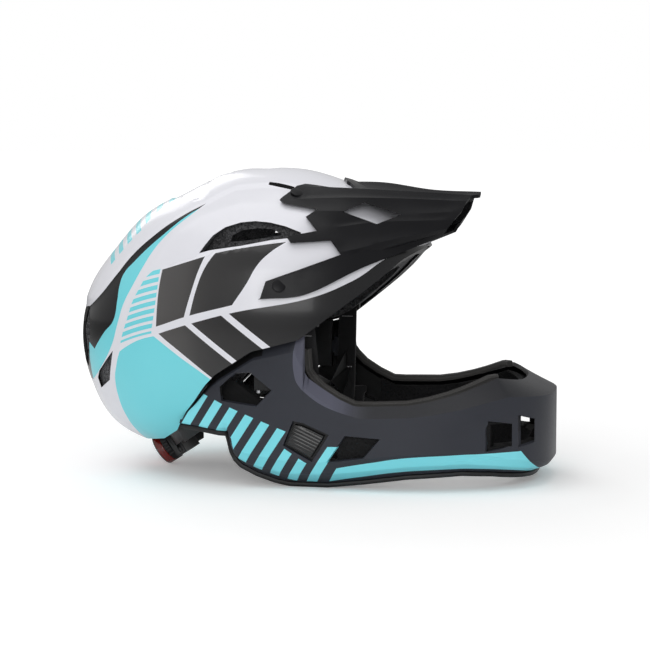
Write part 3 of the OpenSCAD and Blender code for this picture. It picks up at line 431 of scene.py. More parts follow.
class Paint:
    """A material, or the world, whose shader is wired up through one method, node()."""

    def __init__(self, name, world=None, **constants):
        self.material = world or bpy.data.materials.new(name)
        self.material.use_nodes = True
        self.tree = self.material.node_tree
        self.shader = self.tree.nodes["Background" if world else "Principled BSDF"]
        for key, value in constants.items():
            self.shader.inputs[key.replace("_", " ")].default_value = value

    def node(self, kind, inputs=(), out=0, **settings):
        made = self.tree.nodes.new("ShaderNode" + kind)
        for key, value in settings.items():
            setattr(made, key, value)
        pairs = inputs.items() if isinstance(inputs, dict) else enumerate(inputs)
        for key, value in pairs:
            if isinstance(value, Wire):
                self.tree.links.new(value.socket, made.inputs[key])
            else:
                made.inputs[key].default_value = value
        return Wire(self, made.outputs[out])

    def place(self):
        """X, Y and Z in millimetres in the helmet's frame."""
        at = self.node("TexCoord", out="Object")
        scaled = self.node("VectorMath", (at, (1000, 1000, 1000)), operation="MULTIPLY")
        return scaled, [self.node("SeparateXYZ", (scaled,), out=k) for k in range(3)]

    def unwrapped(self):
        """The two values of the UV map."""
        at = self.node("TexCoord", out="UV")
        return [self.node("SeparateXYZ", (at,), out=k) for k in range(2)]

    def inner(self):
        """1 on the faces that walled() moved along, which the shell and guard paints darken as painted shade.
        """
        return self.unwrapped()[0] > 1.5

    def curve(self, value, points, kind="AUTO"):
        """Looks value up on a line of points, in millimetres."""
        ins, outs = [p[0] for p in points], [p[1] for p in points]
        lo, span = min(ins), max(ins) - min(ins)
        base, rise = min(outs), max(max(outs) - min(outs), 0.001)
        scaled = (value - lo) / span
        found = self.node("FloatCurve", {"Value": scaled, "Factor": 1.0})
        mapping = found.socket.node.mapping
        line = mapping.curves[0]
        places = sorted(((i - lo) / span, (o - base) / rise) for i, o in points)
        while len(line.points) < len(places):
            line.points.new(0.5, 0.5)
        for point, (i, o) in zip(line.points, places):
            point.location = (i, o)
            point.handle_type = kind
        mapping.update()
        return found * rise + base

    def mix(self, factor, a, b):
        return self.node("Mix", {0: factor, 6: a, 7: b}, out=2, data_type="RGBA")

    def noise(self, scale, at, detail=3.0, rough=0.5):
        sockets = {"Vector": at, "Scale": scale, "Detail": detail, "Roughness": rough}
        return self.node("TexNoise", sockets)

    def cells(self, scale, at, out="Distance"):
        return self.node("TexVoronoi", {"Vector": at, "Scale": scale}, out=out)

    def set(self, key, wire):
        self.tree.links.new(wire.socket, self.shader.inputs[key])

    def bumped(self, height, strength, depth):
        """Adds the relief, and gives the finished material."""
        sockets = {"Strength": strength, "Distance": depth, "Height": height}
        self.set("Normal", self.node("Bump", sockets))
        return self.material


def shell_paint():
    p = Paint("shell_paint", Coat_Weight=0.3, Coat_Roughness=0.1, Specular_IOR_Level=0.25)
    at, (x, y, z) = p.place()
    side = abs(y)
    # Chevron panels between a family of lines
    top = p.curve(x, [
        (-110, 158.8), (-101, 161.5), (-68.5, 171.6), (-59.6, 174.4), (-35, 179), (-7.3, 182.9),
        (0, 183.6)])
    middle = p.curve(x, [(-110, 117.9), (-104.4, 119.5), (-79, 128.1), (-44.4, 137.1), (-30, 141)])
    lower_top = p.curve(x, [
        (-110, 111.6), (-102.8, 114.2), (-77, 122.5), (-43, 131.7), (12, 142.5), (40, 154), (73.8, 175.6),
        (84.8, 178.2)])
    first = p.curve(z, [(110, -105), (119.5, -104.4), (141.9, -103.2), (161.5, -101), (175, -99)])
    gap_from = p.curve(z, [
        (115, -84.5), (126.7, -81.7), (150.1, -75), (160, -72), (171.2, -67.7), (185, -61)])
    gap_to = p.curve(z, [
        (115, -80), (129.1, -77), (148.7, -72.1), (161.7, -67.5), (174.6, -59.6), (185, -52)])
    last = p.curve(z, [
        (125, -52), (137.1, -44.4), (152.3, -34.4), (166.6, -26.6), (175.1, -18.6), (182.9, -7.3),
        (190, 5)])
    upper = (z < top) & (z > middle) & (x > first) & (x < last) & ~((x > gap_from) & (x < gap_to))
    slant = x + 1.27 * z
    rear_gap, front_gap = (slant > 73.6) & (slant < 80.3), (slant > 111.6) & (slant < 119.4)
    lower_rear = p.curve(z, [(40, -8), (85, -64.7), (100, -83.5), (114.2, -102.8), (120, -110.7)])
    lower = (z < lower_top) & (slant > 42.8) & ~rear_gap & ~front_gap & (x > lower_rear)
    shaded = upper | lower
    # Big panel behind the ear and the hatching above it
    panel_top = p.curve(x, [(-150, 88), (-137.6, 98.5), (-128.1, 104.5), (-118, 109.2), (-107.6, 112)])
    panel_right = p.curve(z, [(40, -12), (83.5, -65.7), (98, -86.5), (112, -106.2), (120, -118)])
    panel_left = p.curve(z, [
        (10, -128), (28, -133.3), (45.3, -139.8), (60.1, -143.4), (74.5, -144.3), (87.4, -141.5),
        (99, -137.2)])
    panel = (z < panel_top) & (x < panel_right) & (x > panel_left)
    hatch_left = p.curve(z, [
        (98, -138.6), (101.5, -137.4), (112.3, -134.2), (124.5, -129.6), (136.5, -125.6), (145.5, -120.8),
        (154.4, -115.5), (161, -108)])
    hatch_right = p.curve(z, [
        (100, -108.6), (114.6, -108.3), (124.3, -106.9), (141.9, -104.6), (160.4, -103)])
    back = hatch_right - x
    phase = (z + back * 0.22 + back * back * 0.004 - 112.6) / 5.72
    hatch = (phase.math("FRACT") < 0.6) & (phase > 0.28) & (phase < 8.62)
    hatch = hatch & (x > hatch_left) & (x < hatch_right)
    # Swoosh up the back
    outer = p.curve(z, OUTER_EDGE)
    black_edge = p.curve(z, BLACK_EDGE)
    teal_edge = p.curve(z, TEAL_EDGE)
    swoosh = ((x > outer) | (z < 126.5)) & (x < teal_edge) & (z > 72) & (z < 209.5)
    above_notch = (z > 98.1) & (z + 0.69 * x > -14.9)
    black = swoosh & (((x < black_edge) & above_notch) | (x < -171.2))
    teal_wing = swoosh & ~black
    # Bars over the crown's rear, square to a line that rises at 45 degrees
    across = (x + z) * 0.7071
    bars = (((across - 7.4) / 10.3).math("FRACT") < 0.5) & (across > 6.5) & (across < 74.8)
    bars = bars & (side < 58) & (x < outer - 4) & (side < (118 - across) * 0.62 + 12) & (z > 150)
    # Colours. The dark panels are painted lighter towards the rear as a painted reflection, with a slow
    # random drift in it
    drift = p.noise(0.012, at, 2.0)
    tone = p.curve(x, [(-112, 1.0), (-85, 0.75), (-62, 0.3), (-30, 0.15), (40, 0.0)])
    dark = p.mix((drift * 0.4 + 0.6) & tone, PANEL, srgb(98, 96, 95))
    colour = p.mix(p.noise(0.03, at) * 0.25, WHITE, srgb(224, 225, 233))
    colour = p.mix(shaded, colour, dark)
    teal = p.mix(p.noise(0.02, at), TEAL, srgb(126, 224, 234))
    colour = p.mix(panel | hatch | teal_wing | bars, colour, teal)
    colour = p.mix(black, colour, PITCH)
    # The inside faces and the walls of the cuts are painted dark as painted shade
    p.set("Base Color", p.mix(p.inner(), colour, PITCH))
    p.set("Roughness", 0.2 + p.noise(0.4, at) * 0.08)
    return p.bumped(p.noise(0.35, at, 2.0), 0.05, 0.0004)


# Rear edge of the facet round the port's rear corner that is painted pale as a painted highlight: height,
# distance ahead
HIGHLIGHT_FACET_EDGE = [(55, 50), (58.9, 35.3), (65.2, 19.9), (72.5, 9.6), (77.5, 4.4), (84.2, 1), (112, 1.3)]
SHADED_BEVEL_FROM, SHADOW_MARGIN_FROM = 0.75, 0.82  # shares of the guard's height, as in its UV map, above which the painted shade on the upper bevel and the painted shadow margin begin


def guard_paint():
    p = Paint("guard_paint", Specular_IOR_Level=0.3)
    at, (x, _y, z) = p.place()
    _round, across = p.unwrapped()
    # Painted shade: the upper bevel, which faces up, is painted darker, fading in from x 36 to 60
    bevel = (across > SHADED_BEVEL_FROM) & p.curve(x, [(36, 0.0), (60, 1.0), (184, 1.0)], "VECTOR")
    slant = x - 0.66 * z
    top = p.curve(slant, [
        (-125, 71.8), (-120, 70.1), (-96.7, 62.2), (-66, 53), (-34, 43.7), (-31, 33), (-27, 31),
        (-19.2, 27.5), (-11.5, 24), (-3.2, 20.5), (0, 33.6), (16, 33.8)], "VECTOR")
    low = p.curve(x, [
        (-95, 44), (-84.3, 42.2), (-53.3, 41.3), (-48.5, 37.1), (-46.9, 27.5), (-43.8, 21.7), (-38.2, 18.2),
        (-26.4, 12.9), (-14, 8.4), (-1.8, 5), (14.8, 4.6), (40, 4.6)], "VECTOR")
    phase = (slant + 120) / 15.42
    stripes = (phase.math("FRACT") < 0.52) & (slant > -121) & (slant < 12) & (z < top) & (z > low)
    band_top = p.curve(x, [
        (20, 14.6), (32, 17.5), (60, 22.8), (83.6, 26.4), (113.1, 28.2), (140, 28.9), (163.3, 29.1),
        (180, 29.1)])
    band_low = p.curve(x, [
        (20, 4.5), (50, 10.2), (83.7, 14.8), (110, 16.2), (127.2, 16.3), (151.3, 14.6), (170.6, 9.4),
        (180, 6)])
    band = (z < band_top) & (z > band_low) & (slant > 20.2) & (x + 0.677 * z < 183)
    # Painted highlight: a pale facet round the port's rear corner
    highlight_facet = (x > p.curve(z, HIGHLIGHT_FACET_EDGE)) & (z > 55) & p.curve(x, [(0, 1.0), (28, 1.0), (56, 0.0)], "VECTOR")
    grey = p.mix(p.noise(0.03, at), CHARCOAL, srgb(51, 53, 61))
    grey = p.mix(highlight_facet, grey, srgb(86, 87, 101))
    # Painted shade: the upper bevel is darker
    grey = p.mix(bevel, grey, srgb(30, 31, 36))
    teal = p.mix(p.noise(0.02, at), TEAL, srgb(142, 234, 246))
    colour = p.mix(stripes | band, grey, teal)
    # Painted shadow: a dark margin where the guard's edge tucks under the shell behind
    shadow_margin = (across > SHADOW_MARGIN_FROM) & (across < 1.01) & (x < -24)
    # The inside faces and the wall rims are painted dark as painted shade
    p.set("Base Color", p.mix(p.inner() | shadow_margin, colour, PITCH))
    p.set("Roughness", 0.36 + p.noise(0.6, at) * 0.12 - (stripes | band) * 0.08)
    return p.bumped(p.cells(1.4, at) + p.noise(2.5, at), 0.12, 0.0003)


def plastic(name, colour, light, rough=0.42, grain=1.6, depth=0.18, shine=0.45):
    """Moulded plastic with a fine spark-eroded grain and a little rub on it."""
    p = Paint(name, Specular_IOR_Level=shine)
    at = p.place()[0]
    rub = p.noise(0.05, at, 5.0, 0.6)
    p.set("Base Color", p.mix(rub, colour, light))
    p.set("Roughness", rough + p.noise(0.3, at) * 0.12)
    return p.bumped(p.cells(grain, at) + p.noise(grain * 1.7, at), depth, 0.0003)


def button_gloss():
    """Polished black with fine grip ribs across it."""
    p = Paint("button_gloss", Specular_IOR_Level=0.4, Coat_Weight=0.5, Coat_Roughness=0.06)
    at, (x, _y, z) = p.place()
    ribs = ((x * 0.42 + z * 0.9) * 2.6).math("SINE")
    p.set("Base Color", p.mix(p.noise(0.2, at), srgb(8, 8, 9), srgb(15, 15, 17)))
    p.set("Roughness", 0.16 + ribs * 0.04)
    return p.bumped(ribs, 0.35, 0.0004)


def bead_foam(name, colour, light):
    p = Paint(name, Specular_IOR_Level=0.15)
    at = p.place()[0]
    beads = p.cells(0.8, at)
    tint = p.cells(0.8, at, "Color")
    level = p.node("SeparateColor", (tint,))
    tone = p.mix(level * 0.7 + p.noise(1.6, at) * 0.3, colour, light)
    p.set("Base Color", p.mix((beads > 0.7) & (level > 0.2), tone, colour))
    p.set("Roughness", 0.66 + level * 0.2)
    return p.bumped(beads * -1, 0.35, 0.0007)


def knit(name, colour, light):
    """Brushed knit: rows of small loops, a nap, and a soft sheen."""
    p = Paint(name, Specular_IOR_Level=0.15, Sheen_Weight=0.35, Sheen_Roughness=0.5)
    at, (x, y, z) = p.place()
    loops = ((x * 2.6 + y * 0.6).math("SINE") * (z * 2.6 + y * 2.2).math("SINE")) * 0.5 + 0.5
    nap = p.noise(1.2, at, 4.0, 0.7)
    p.set("Base Color", p.mix(nap * 0.7 + loops * 0.3, colour, light))
    p.set("Roughness", 0.78 + nap * 0.18)
    return p.bumped(loops * 0.5 + nap, 0.55, 0.0006)


def weave():
    """Webbing: a herringbone along the strap, read from the strap's own UV map in millimetres."""
    p = Paint("webbing_weave", Specular_IOR_Level=0.2, Sheen_Weight=0.25)
    u, v = p.unwrapped()
    from_middle = abs(v - WEB_W / 2)
    rib = (abs(v.math("FRACT") - 0.5) * 3 + u * 1.1).math("FRACT")
    thread = (v * 2).math("SINE") * 0.2 + abs(rib - 0.5) * 2
    edge = (from_middle > 6.1) & (u * 1.6).math("FRACT")
    height = thread * 0.8 + edge * 0.5
    at = p.place()[0]
    # Two rows of stitches across the strap, and one along it from the second
    first, second = 8, 44
    row = (abs(u - first) < STITCH_W) | (abs(u - second) < STITCH_W)
    row = row | ((from_middle < STITCH_W) & (u > second) & (u < second + 7))
    stitch = row & (from_middle < 4.6) & (((u + v) * 0.9).math("FRACT") < 0.8)
    cloth = p.mix(height * 0.6 + p.noise(0.5, at) * 0.4, srgb(12, 12, 13), srgb(40, 40, 42))
    p.set("Base Color", p.mix(stitch, cloth, srgb(190, 190, 192)))
    p.set("Roughness", 0.7 + thread * 0.2)
    return p.bumped(height, 0.6, 0.0005)


def ribbed_rubber():
    p = Paint("ribbed_rubber", Specular_IOR_Level=0.4)
    u, v = p.unwrapped()
    at = p.place()[0]
    weft = (u * 1500).math("SINE") * 0.5 + 0.5
    warp = (v * 69).math("SINE") * 0.5 + 0.5
    nap = p.noise(1.5, at, 4.0)
    p.set("Base Color", p.mix(weft * warp * 0.5 + nap * 0.5, srgb(18, 18, 18), srgb(92, 90, 88)))
    p.set("Roughness", 0.42 + nap * 0.25)
    return p.bumped(weft * 0.5 + warp * 0.3 + nap * 0.3, 0.6, 0.0006)


def bare_metal():
    p = Paint("plated_steel", Metallic=1.0)
    x, y, z = p.place()[1]
    brushed = p.noise(2.0, p.node("CombineXYZ", (x * 0.1, y * 4, z * 4)), 3.0)
    p.set("Base Color", p.mix(brushed, srgb(176, 178, 182), srgb(206, 207, 210)))
    p.set("Roughness", 0.22 + brushed * 0.2)
    return p.bumped(brushed, 0.1, 0.0002)


DIAL_X, DIAL_Z = -62, 56.8  # a point on the dial's axis
DIAL_BACK, DIAL_DOWN = 0.832, 0.5548  # the axis's direction
LENS_FACE = 82.0  # from that point to the lens's outer face
LENS_RIM = 12.0


def red_lens():
    """Red lens with fine rings under a clear face."""
    p = Paint("red_lens", Roughness=0.14, Coat_Weight=0.8, Coat_Roughness=0.05)
    x, y, z = p.place()[1]
    out = (x - DIAL_X) * DIAL_DOWN - (z - DIAL_Z) * DIAL_BACK
    reach = (out * out + y * y).math("SQRT")
    rings = (reach * 2.6).math("SINE") * 0.5 + 0.5
    red = p.mix(rings, srgb(92, 14, 10), srgb(168, 42, 30))
    behind = (x - DIAL_X) * -DIAL_BACK - (z - DIAL_Z) * DIAL_DOWN
    rim = (behind > LENS_FACE - 1) & (reach > LENS_RIM)
    p.set("Base Color", p.mix(rim, red, srgb(20, 20, 21)))
    return p.bumped(rings, 0.3, 0.0004)


def board_green():
    p = Paint("board_green", Roughness=0.35)
    x, y, z = p.place()[1]
    tracks = ((x * 1.1).math("FRACT") < 0.16) | ((y * 0.7 + z * 0.4).math("FRACT") < 0.12)
    p.set("Base Color", p.mix(tracks, srgb(20, 92, 48), srgb(120, 128, 60)))
    return p.bumped(tracks, 0.4, 0.0002)


SHELL = shell_paint()
GUARD = guard_paint()
VISOR = plastic("visor_plastic", VISOR_BLACK, srgb(21, 21, 24), 0.3, 1.3, 0.12, 0.2)
TRIM = plastic("trim_plastic", srgb(17, 17, 18), srgb(25, 25, 27), 0.4)
GLOSS = button_gloss()
FOAM = bead_foam("bead_foam", srgb(42, 42, 44), srgb(112, 112, 114))
# Black bead foam for the guard, painted darker than the liner's foam as painted shade in the guard's recesses
SHADED_GUARD_FOAM = bead_foam("guard_bead_foam_painted_shade", srgb(16, 16, 17), srgb(36, 36, 37))
PAD = knit("pad_knit", srgb(16, 16, 17), srgb(38, 38, 40))
WEB = weave()
RUBBER = ribbed_rubber()
STEEL = bare_metal()
LENS = red_lens()
BOARD = board_green()


# Outer shell

CRESCENT = [
    (-72.7, 174), (-68.8, 180), (-63.5, 187), (-55, 193), (-44, 196.5), (-33, 197.6), (-21.5, 196.6),
    (-10, 194), (2, 189.5), (2, 185.6), (-8, 185.3), (-19.5, 184), (-41.3, 179.7), (-63.9, 176.4)]
TOP_SLOT = [(-31, 42), (-11, 44.5), (-11, 48), (-31, 45)]
CROWN_SLOT = [(-87, -16), (-68, -13), (-68, 13), (-87, 16)]
REAR_VENT = [(29, 88), (46, 82), (56, 94), (60, 112), (54, 130), (38, 128), (29, 116)]
LOW_VENT = [(-163.5, 75), (-160.5, 81), (-144, 98.7), (-150, 75), (-161.5, 67)]

shell = shaped_grid("shell_skin", 300, 110, shell_place)
walled(shell, SHELL_T)
SIDE_END, TOP_END, REAR_END = 130, 277, -260  # where the cutters end, outside the shell
# The walls these cuts leave are painted dark as painted shade
cut(shell, dark(both(CRESCENT, 20, SIDE_END) + both(LOW_VENT, 50, SIDE_END)
                + [prism(np.array(TOP_SLOT) * (1, s), 147, TOP_END, "z") for s in (-1, 1)]
                + [prism(CROWN_SLOT, 147, TOP_END, "z")]
                + [prism(np.array(REAR_VENT) * (s, 1), REAR_END, -130, "x") for s in (-1, 1)]))
stand_for(smooth(shell, 28), "outer_shell", SHELL)

liner = copy_of("foam_liner", "liner_foam", 0.1)
stand_for(smooth(liner, 35), "foam_liner", FOAM)


# Visor

VISOR_LINES = np.array([
    [[17, 0, 225.2], [50, 0, 224.8], [88, 0, 219.4], [124.5, 0, 218]],
    [[21, 12, 221.7], [53, 12, 219.5], [89, 9, 215.5], [123.5, 5, 215.9]],
    [[-8, 50, 223.1], [28, 44, 221.6], [68, 31.5, 219.3], [119, 11.5, 215.8]],
    [[-17.5, 66, 213.3], [27, 60, 214.8], [68.5, 40, 213.8], [116.5, 20, 211.4]],
    [[-6, 74, 205.4], [32.5, 68, 205], [71, 48.5, 202.6], [113.5, 27, 203.9]],
    [[1, 83, 194.6], [23, 78, 193.3], [57.5, 62, 197], [109, 33, 197.8]],
    [[-12.5, 95, 179.7], [30.5, 86.5, 176], [66, 66, 184], [104.5, 37, 191.4]],
    [[-21, 104, 155.8], [8, 98.5, 162.4], [48, 75.5, 172.5], [102, 36, 188.2]],
    [[-24, 106.7, 141.8], [11, 101, 146], [49.5, 77, 164.5], [100.5, 35, 185.4]]], float)
VISOR_T = 2.6
VISOR_SEAT = 1.5  # least gap over the shell


def through(lines, f):
    """Points at share f along smooth lines through four points each."""
    row = np.arange(len(f))
    i, f = split(f * 3, 3)
    start, end = 2 * lines[:, :1] - lines[:, 1:2], 2 * lines[:, 3:] - lines[:, 2:3]
    longer = np.concatenate([start, lines, end], axis=1)
    return spline(*[longer[row, i + k] for k in range(4)], f[:, None])


def off_shell(p, gap):
    """Moves points out from the dome's centre to be gap or more over the shell."""
    d = p - DOME_C
    t = np.degrees(np.arctan2(d[:, 1], d[:, 0]))
    a = np.degrees(np.arctan2(d[:, 2], np.hypot(d[:, 0], d[:, 1])))
    reach = np.linalg.norm(d, axis=1)
    need = np.maximum(dome_r(t, a) + gap, reach)
    return DOME_C + d / reach[:, None] * need[:, None]


def visor_place(u, v):
    lines = np.concatenate([VISOR_LINES[:0:-1] * [1, -1, 1], VISOR_LINES])
    i, f = split(u * (len(lines) - 1), len(lines) - 1)
    share = f[:, None]
    spot = through(lines[i], 1 - v) * (1 - share) + through(lines[i + 1], 1 - v) * share
    # Each panel between two ridges is hollow, the middle ones less
    hollow = np.sin(np.pi * f) * ease(v / 0.12)
    spot[:, 2] -= hollow * np.where(np.abs(u - 0.5) < 0.1, 0.3, 1.0)
    return off_shell(spot, VISOR_T + VISOR_SEAT).T


FINGER_GAP = [
    (-60, 212), (-17.5, 212.5), (-14.5, 210.6), (12, 206.4), (4.7, 201), (14.3, 191), (-7, 187),
    (-3, 182.3), (25, 184), (33, 174), (5, 163.6), (-19, 155), (-22.7, 142.6), (-60, 129)]
FINGER_TIP = [(-60, 238), (-9.6, 222.6), (-17.6, 213), (-60, 212)]
VISOR_WINDOW = [(30.5, 204.5), (44.5, 211), (71, 202), (55, 195.3)]
RIDGE_GAP = [(-60, 8), (17, 8), (26, 15), (32, 24), (28, 38), (-8, 46), (-60, 54)]

visor = shaped_grid("visor_skin", 96, 60, visor_place)
modify(visor, "SOLIDIFY", thickness=VISOR_T * MM, offset=-1, use_even_offset=True)
for gap in (FINGER_GAP, FINGER_TIP, VISOR_WINDOW):
    cut(visor, both(gap, 30, SIDE_END))
cut(visor, [prism(np.array(RIDGE_GAP) * (1, s), 180, 260, "z") for s in (-1, 1)])
eased(visor, 0.45, 50)
stand_for(smooth(visor, 12), "visor", VISOR)


# Chin guard

HALF_W, MID, NOSE, REAR_RUN = 98.0, 10.0, 183.0, 165.0
FRONT_POWER, REAR_POWER = 2.6, 2.2
PORT_REAR = 7.2  # where the face port begins
PORT_LINE = np.array([[7.2, 87], [9.5, 83.3], [20, 76], [32.5, 68.3], [44.5, 63], [54, 63], [84, 64],
                      [100, 66.6], [120, 71.4], [138, 77], [155, 82], [168, 80], [183, 77.5], [190, 77]])
LOWER_LINE = np.array([[-92, 41], [-77.5, 40], [-55.8, 37.3], [-53.5, 24.5], [-51, 18.3], [-46.5, 13.5],
                       [-34, 7], [-20, 2], [-8, 0], [22, 0], [50, 3], [84, 7.3], [127, 10], [150, 9],
                       [190, 4]])
EDGE_H = 4.0
GUARD_T = 3.0
TOP_GAP = 0.3
BEVEL_IN = np.array([[-92, 1], [-60, 3], [1, 4], [7, 7], [84, 7], [125, 11], [155, 17], [183, 22]])
BEVEL_HIGH = np.array([[-92, 1], [-60, 6], [1, 8], [7, 24], [7.6, 8], [84, 8], [155, 12], [183, 10]])
TUCK_IN = np.array([[-92, 1], [-60, 2], [-50, 9], [-20, 17], [65, 18], [125, 17], [155, 14], [183, 12]])
TUCK_HIGH = np.array([[-92, 1], [-60, 4], [-50, 10], [-20, 18], [65, 18], [125, 16], [155, 12], [183, 8]])
STATION_X = np.array([-92, -84, -76, -68, -60, -55.8, -53.5, -51.5, -49.5, -47, -43, -34, -20, -8, 1, 7, 7.6,
                      12, 20, 32, 44, 54, 68, 84, 100, 116, 129, 141, 151, 160, 168.0])
STATION_NOSE = 182.0  # the nose for which the stations ahead of MID are given
NOSE_Y = np.array([42.0, 28.0, 14.0])  # half widths of the stations ahead of those
NEAR_NOSE = 45.0  # half width under which y leads and x follows


def above_trim(x):
    """Height of the trim's upper edge: the lower line moved square to itself by the trim's height."""
    reach = np.linspace(-EDGE_H, EDGE_H, 33)
    near = look(LOWER_LINE, (x[:, None] + reach).ravel()).reshape(len(x), -1)
    return (near + np.sqrt(EDGE_H ** 2 - reach ** 2)).max(axis=1)


def powers(x):
    """Power and length of the part of the plan that x lies on."""
    return np.where(x > MID, FRONT_POWER, REAR_POWER), np.where(x > MID, NOSE - MID, REAR_RUN)


def half_width(x):
    n, reach = powers(x)
    return HALF_W * np.maximum(1 - (np.abs(x - MID) / reach) ** n, 0) ** (1 / n)


def nose_x(y):
    return MID + (NOSE - MID) * (1 - (y / HALF_W) ** FRONT_POWER) ** (1 / FRONT_POWER)


def outward_at(x, y):
    """The direction out of the plan on its left side."""
    n, reach = powers(x)
    out_x = np.sign(x - MID) / reach * (np.abs(x - MID) / reach) ** (n - 1)
    out_y = (y / HALF_W) ** (n - 1) / HALF_W
    size = np.hypot(out_x, out_y)
    return out_x / size, out_y / size


def plan(run):
    """Plan position and outward direction at a place along the guard, from the right rear end at 0 round to
    the left rear end at 2."""
    side = np.where(run <= 1, -1.0, 1.0)
    stations = STATION_X * np.where(STATION_X > MID, NOSE / STATION_NOSE, 1)
    xs = np.concatenate([stations, nose_x(NOSE_Y), [NOSE]])
    ys = np.concatenate([half_width(stations), NOSE_Y, [0]])
    knots = np.arange(len(xs))
    place = np.where(run <= 1, run, 2 - run) * knots[-1]
    x, y = np.interp(place, knots, xs), np.interp(place, knots, ys)
    ahead = y <= NEAR_NOSE
    y = np.where(ahead, y, half_width(np.minimum(x, NOSE)))
    x = np.where(ahead, nose_x(y), x)
    out_x, out_y = outward_at(x, y)
    return x, side * y, out_x, side * out_y


def guard_top(x):
    return np.where(x < PORT_REAR, look(RIM, x) - LAP - TOP_GAP, look(PORT_LINE, x))


def guard_rows(x):
    """The section's five corners from bottom to top: how far in, and how high."""
    low, top = above_trim(x), guard_top(x)
    tuck, bevel = look(TUCK_IN, x), look(BEVEL_IN, x)
    lift = np.minimum(look(TUCK_HIGH, x), 0.4 * (top - low))
    shed = np.minimum(look(BEVEL_HIGH, x), 0.25 * (top - low))
    zero = np.zeros_like(x)
    return (np.stack([tuck, 0.35 * tuck, zero, zero, bevel]),
            np.stack([low, low + 0.45 * lift, low + lift, top - shed, top]))


def guard_place(u, v):
    x, y, gx, gy = plan(u * 2)
    ins, highs = guard_rows(x)
    i, f = split(v * 4, 4)
    k = np.arange(len(x))
    d = ins[i, k] * (1 - f) + ins[i + 1, k] * f
    z = highs[i, k] * (1 - f) + highs[i + 1, k] * f
    # The lower two faces are one rounded tuck
    round_off = np.where(v < 0.5, 0.06 * ins[0, k] * np.sin(np.pi * v * 2) ** 2, 0)
    # Ledge ahead of the side vent
    ledge = 0.9 * ease((x - 108) / 20) * ease((162 - x) / 8) * (z < 45.5 + (x - 113) * 0.09) * (z > 24)
    d = d - round_off + ledge
    return x - d * gx, y - d * gy, z


EAR_VENT = [(-56, 74.3), (-44.3, 83.8), (-34.4, 84.5), (-20.8, 73.7), (-29.4, 64.4), (-55, 66)]
BUTTON_WINDOW = [(0.6, 49.8), (6.5, 48.9), (23.8, 41.6), (13.2, 24.5), (-5.6, 34.4)]
CHEEK_RECESS = [(40, 38.8), (58.5, 37.7), (50.5, 28.4), (31.3, 25.9)]
SIDE_VENT = [(142, 50), (157, 50), (157, 33), (142, 33)]
CORNER_VENT = [(165, 52), (171.5, 51.5), (171.5, 35), (165, 35.5)]

guard = shaped_grid("guard_skin", 260, 40, guard_place)
walled(guard, GUARD_T)
# Outline, from and to across, and how much wider it is at the outside
for window in ((EAR_VENT, 86, 101, 4), (BUTTON_WINDOW, 88, 101, 2.5), (CHEEK_RECESS, 84, 101, 4),
               (SIDE_VENT, 30, SIDE_END), (SIDE_VENT, 64, 76, 3), (CORNER_VENT, 20, SIDE_END),
               (CORNER_VENT, 46, 62, 4)):
    cut(guard, both(*window))
stand_for(smooth(guard, 22), "guard_shell", GUARD)

guard_foam = copy_of("guard_foam", "guard_foam_skin", 0.1)
stand_for(smooth(guard_foam, 35), "guard_foam", SHADED_GUARD_FOAM)


def section_sweep(name, steps, corners, spot):
    """A closed section of corners swept along spot(f, corner), with both ends closed."""
    ring = np.array(corners, float)
    n = len(ring)

    def place(u, v):
        s = v * n
        i = np.floor(s).astype(int) % n
        f = (s - np.floor(s))[:, None]
        corner = ring[i] * (1 - f) + ring[(i + 1) % n] * f
        return spot(u, corner)

    obj = shaped_grid(name, steps, n, place)
    return in_edit(obj, merge(CAD_WELD), lambda: bpy.ops.mesh.select_all(action="DESELECT"),
                   bpy.ops.mesh.select_non_manifold, bpy.ops.mesh.edge_face_add,
                   lambda: bpy.ops.mesh.select_all(action="SELECT"), outward)


def rounded_box(w, h, r, per=4):
    """Corners of a rounded rectangle, w wide and h high from the origin."""
    out = []
    for k, (cx, cy) in enumerate(((w - r, r), (w - r, h - r), (r, h - r), (r, r))):
        for j in range(per + 1):
            a = math.radians(-90 + 90 * k + 90 * j / per)
            out.append((cx + r * math.cos(a), cy + r * math.sin(a)))
    return out


def edge_spot(u, corner):
    x, y, gx, gy = plan(u * 2)
    d = look(TUCK_IN, x) + corner[:, 0]
    foot = look(LOWER_LINE, x)
    return x - d * gx, y - d * gy, foot + corner[:, 1] / EDGE_H * (above_trim(x) - foot)


edge = section_sweep("edge_trim", 300, rounded_box(GUARD_T + 4, EDGE_H - 0.2, 1.3), edge_spot)
stand_for(smooth(edge, 50), "guard_edge_trim", TRIM)

PORT_X = (20, 32, 44, 54, 68, 84, 100, 116, 129, 141, 151, 160)
PORT_TRIM = np.array([(8.6, 104), (9, 96), (9.8, 88.5), (13, 84)]
                     + [(x, look(PORT_LINE, x) + 1) for x in PORT_X])
TURN_SPAN = 0.6  # stretch of the trim's points over which it turns a corner


def port_spot(u, corner):
    knots = np.arange(len(PORT_TRIM))

    def on_line(place):
        return np.stack([np.interp(place, knots, PORT_TRIM[:, k]) for k in range(2)], axis=1)

    place = u * knots[-1]
    run = on_line(place + TURN_SPAN) - on_line(place - TURN_SPAN)
    back = np.stack([run[:, 1], -run[:, 0]], axis=1) / lengths(run)
    x, z = (on_line(place) + corner[:, 1:2] * back).T
    y = half_width(x)
    out_x, out_y = outward_at(x, y)
    d = look(BEVEL_IN, x) + 1.3 * GUARD_T + 0.4 + corner[:, 0]
    return x - d * out_x, -(y - d * out_y), z


# Two beads with a groove between them
TRIM_SECTION = [
    (0.3, 3.2), (0.3, 0), (0.8, -1.4), (1.8, -1.9), (2.7, -1.4), (3.1, -0.7), (3.5, -1.4), (4.4, -1.9),
    (5.4, -1.4), (6, 0), (6, 3.2)]
port = section_sweep("port_rubber", 220, TRIM_SECTION, port_spot)
modify(port, "MIRROR", use_axis=(False, True, False))
stand_for(smooth(port, 60), "port_trim", RUBBER)


# Straps

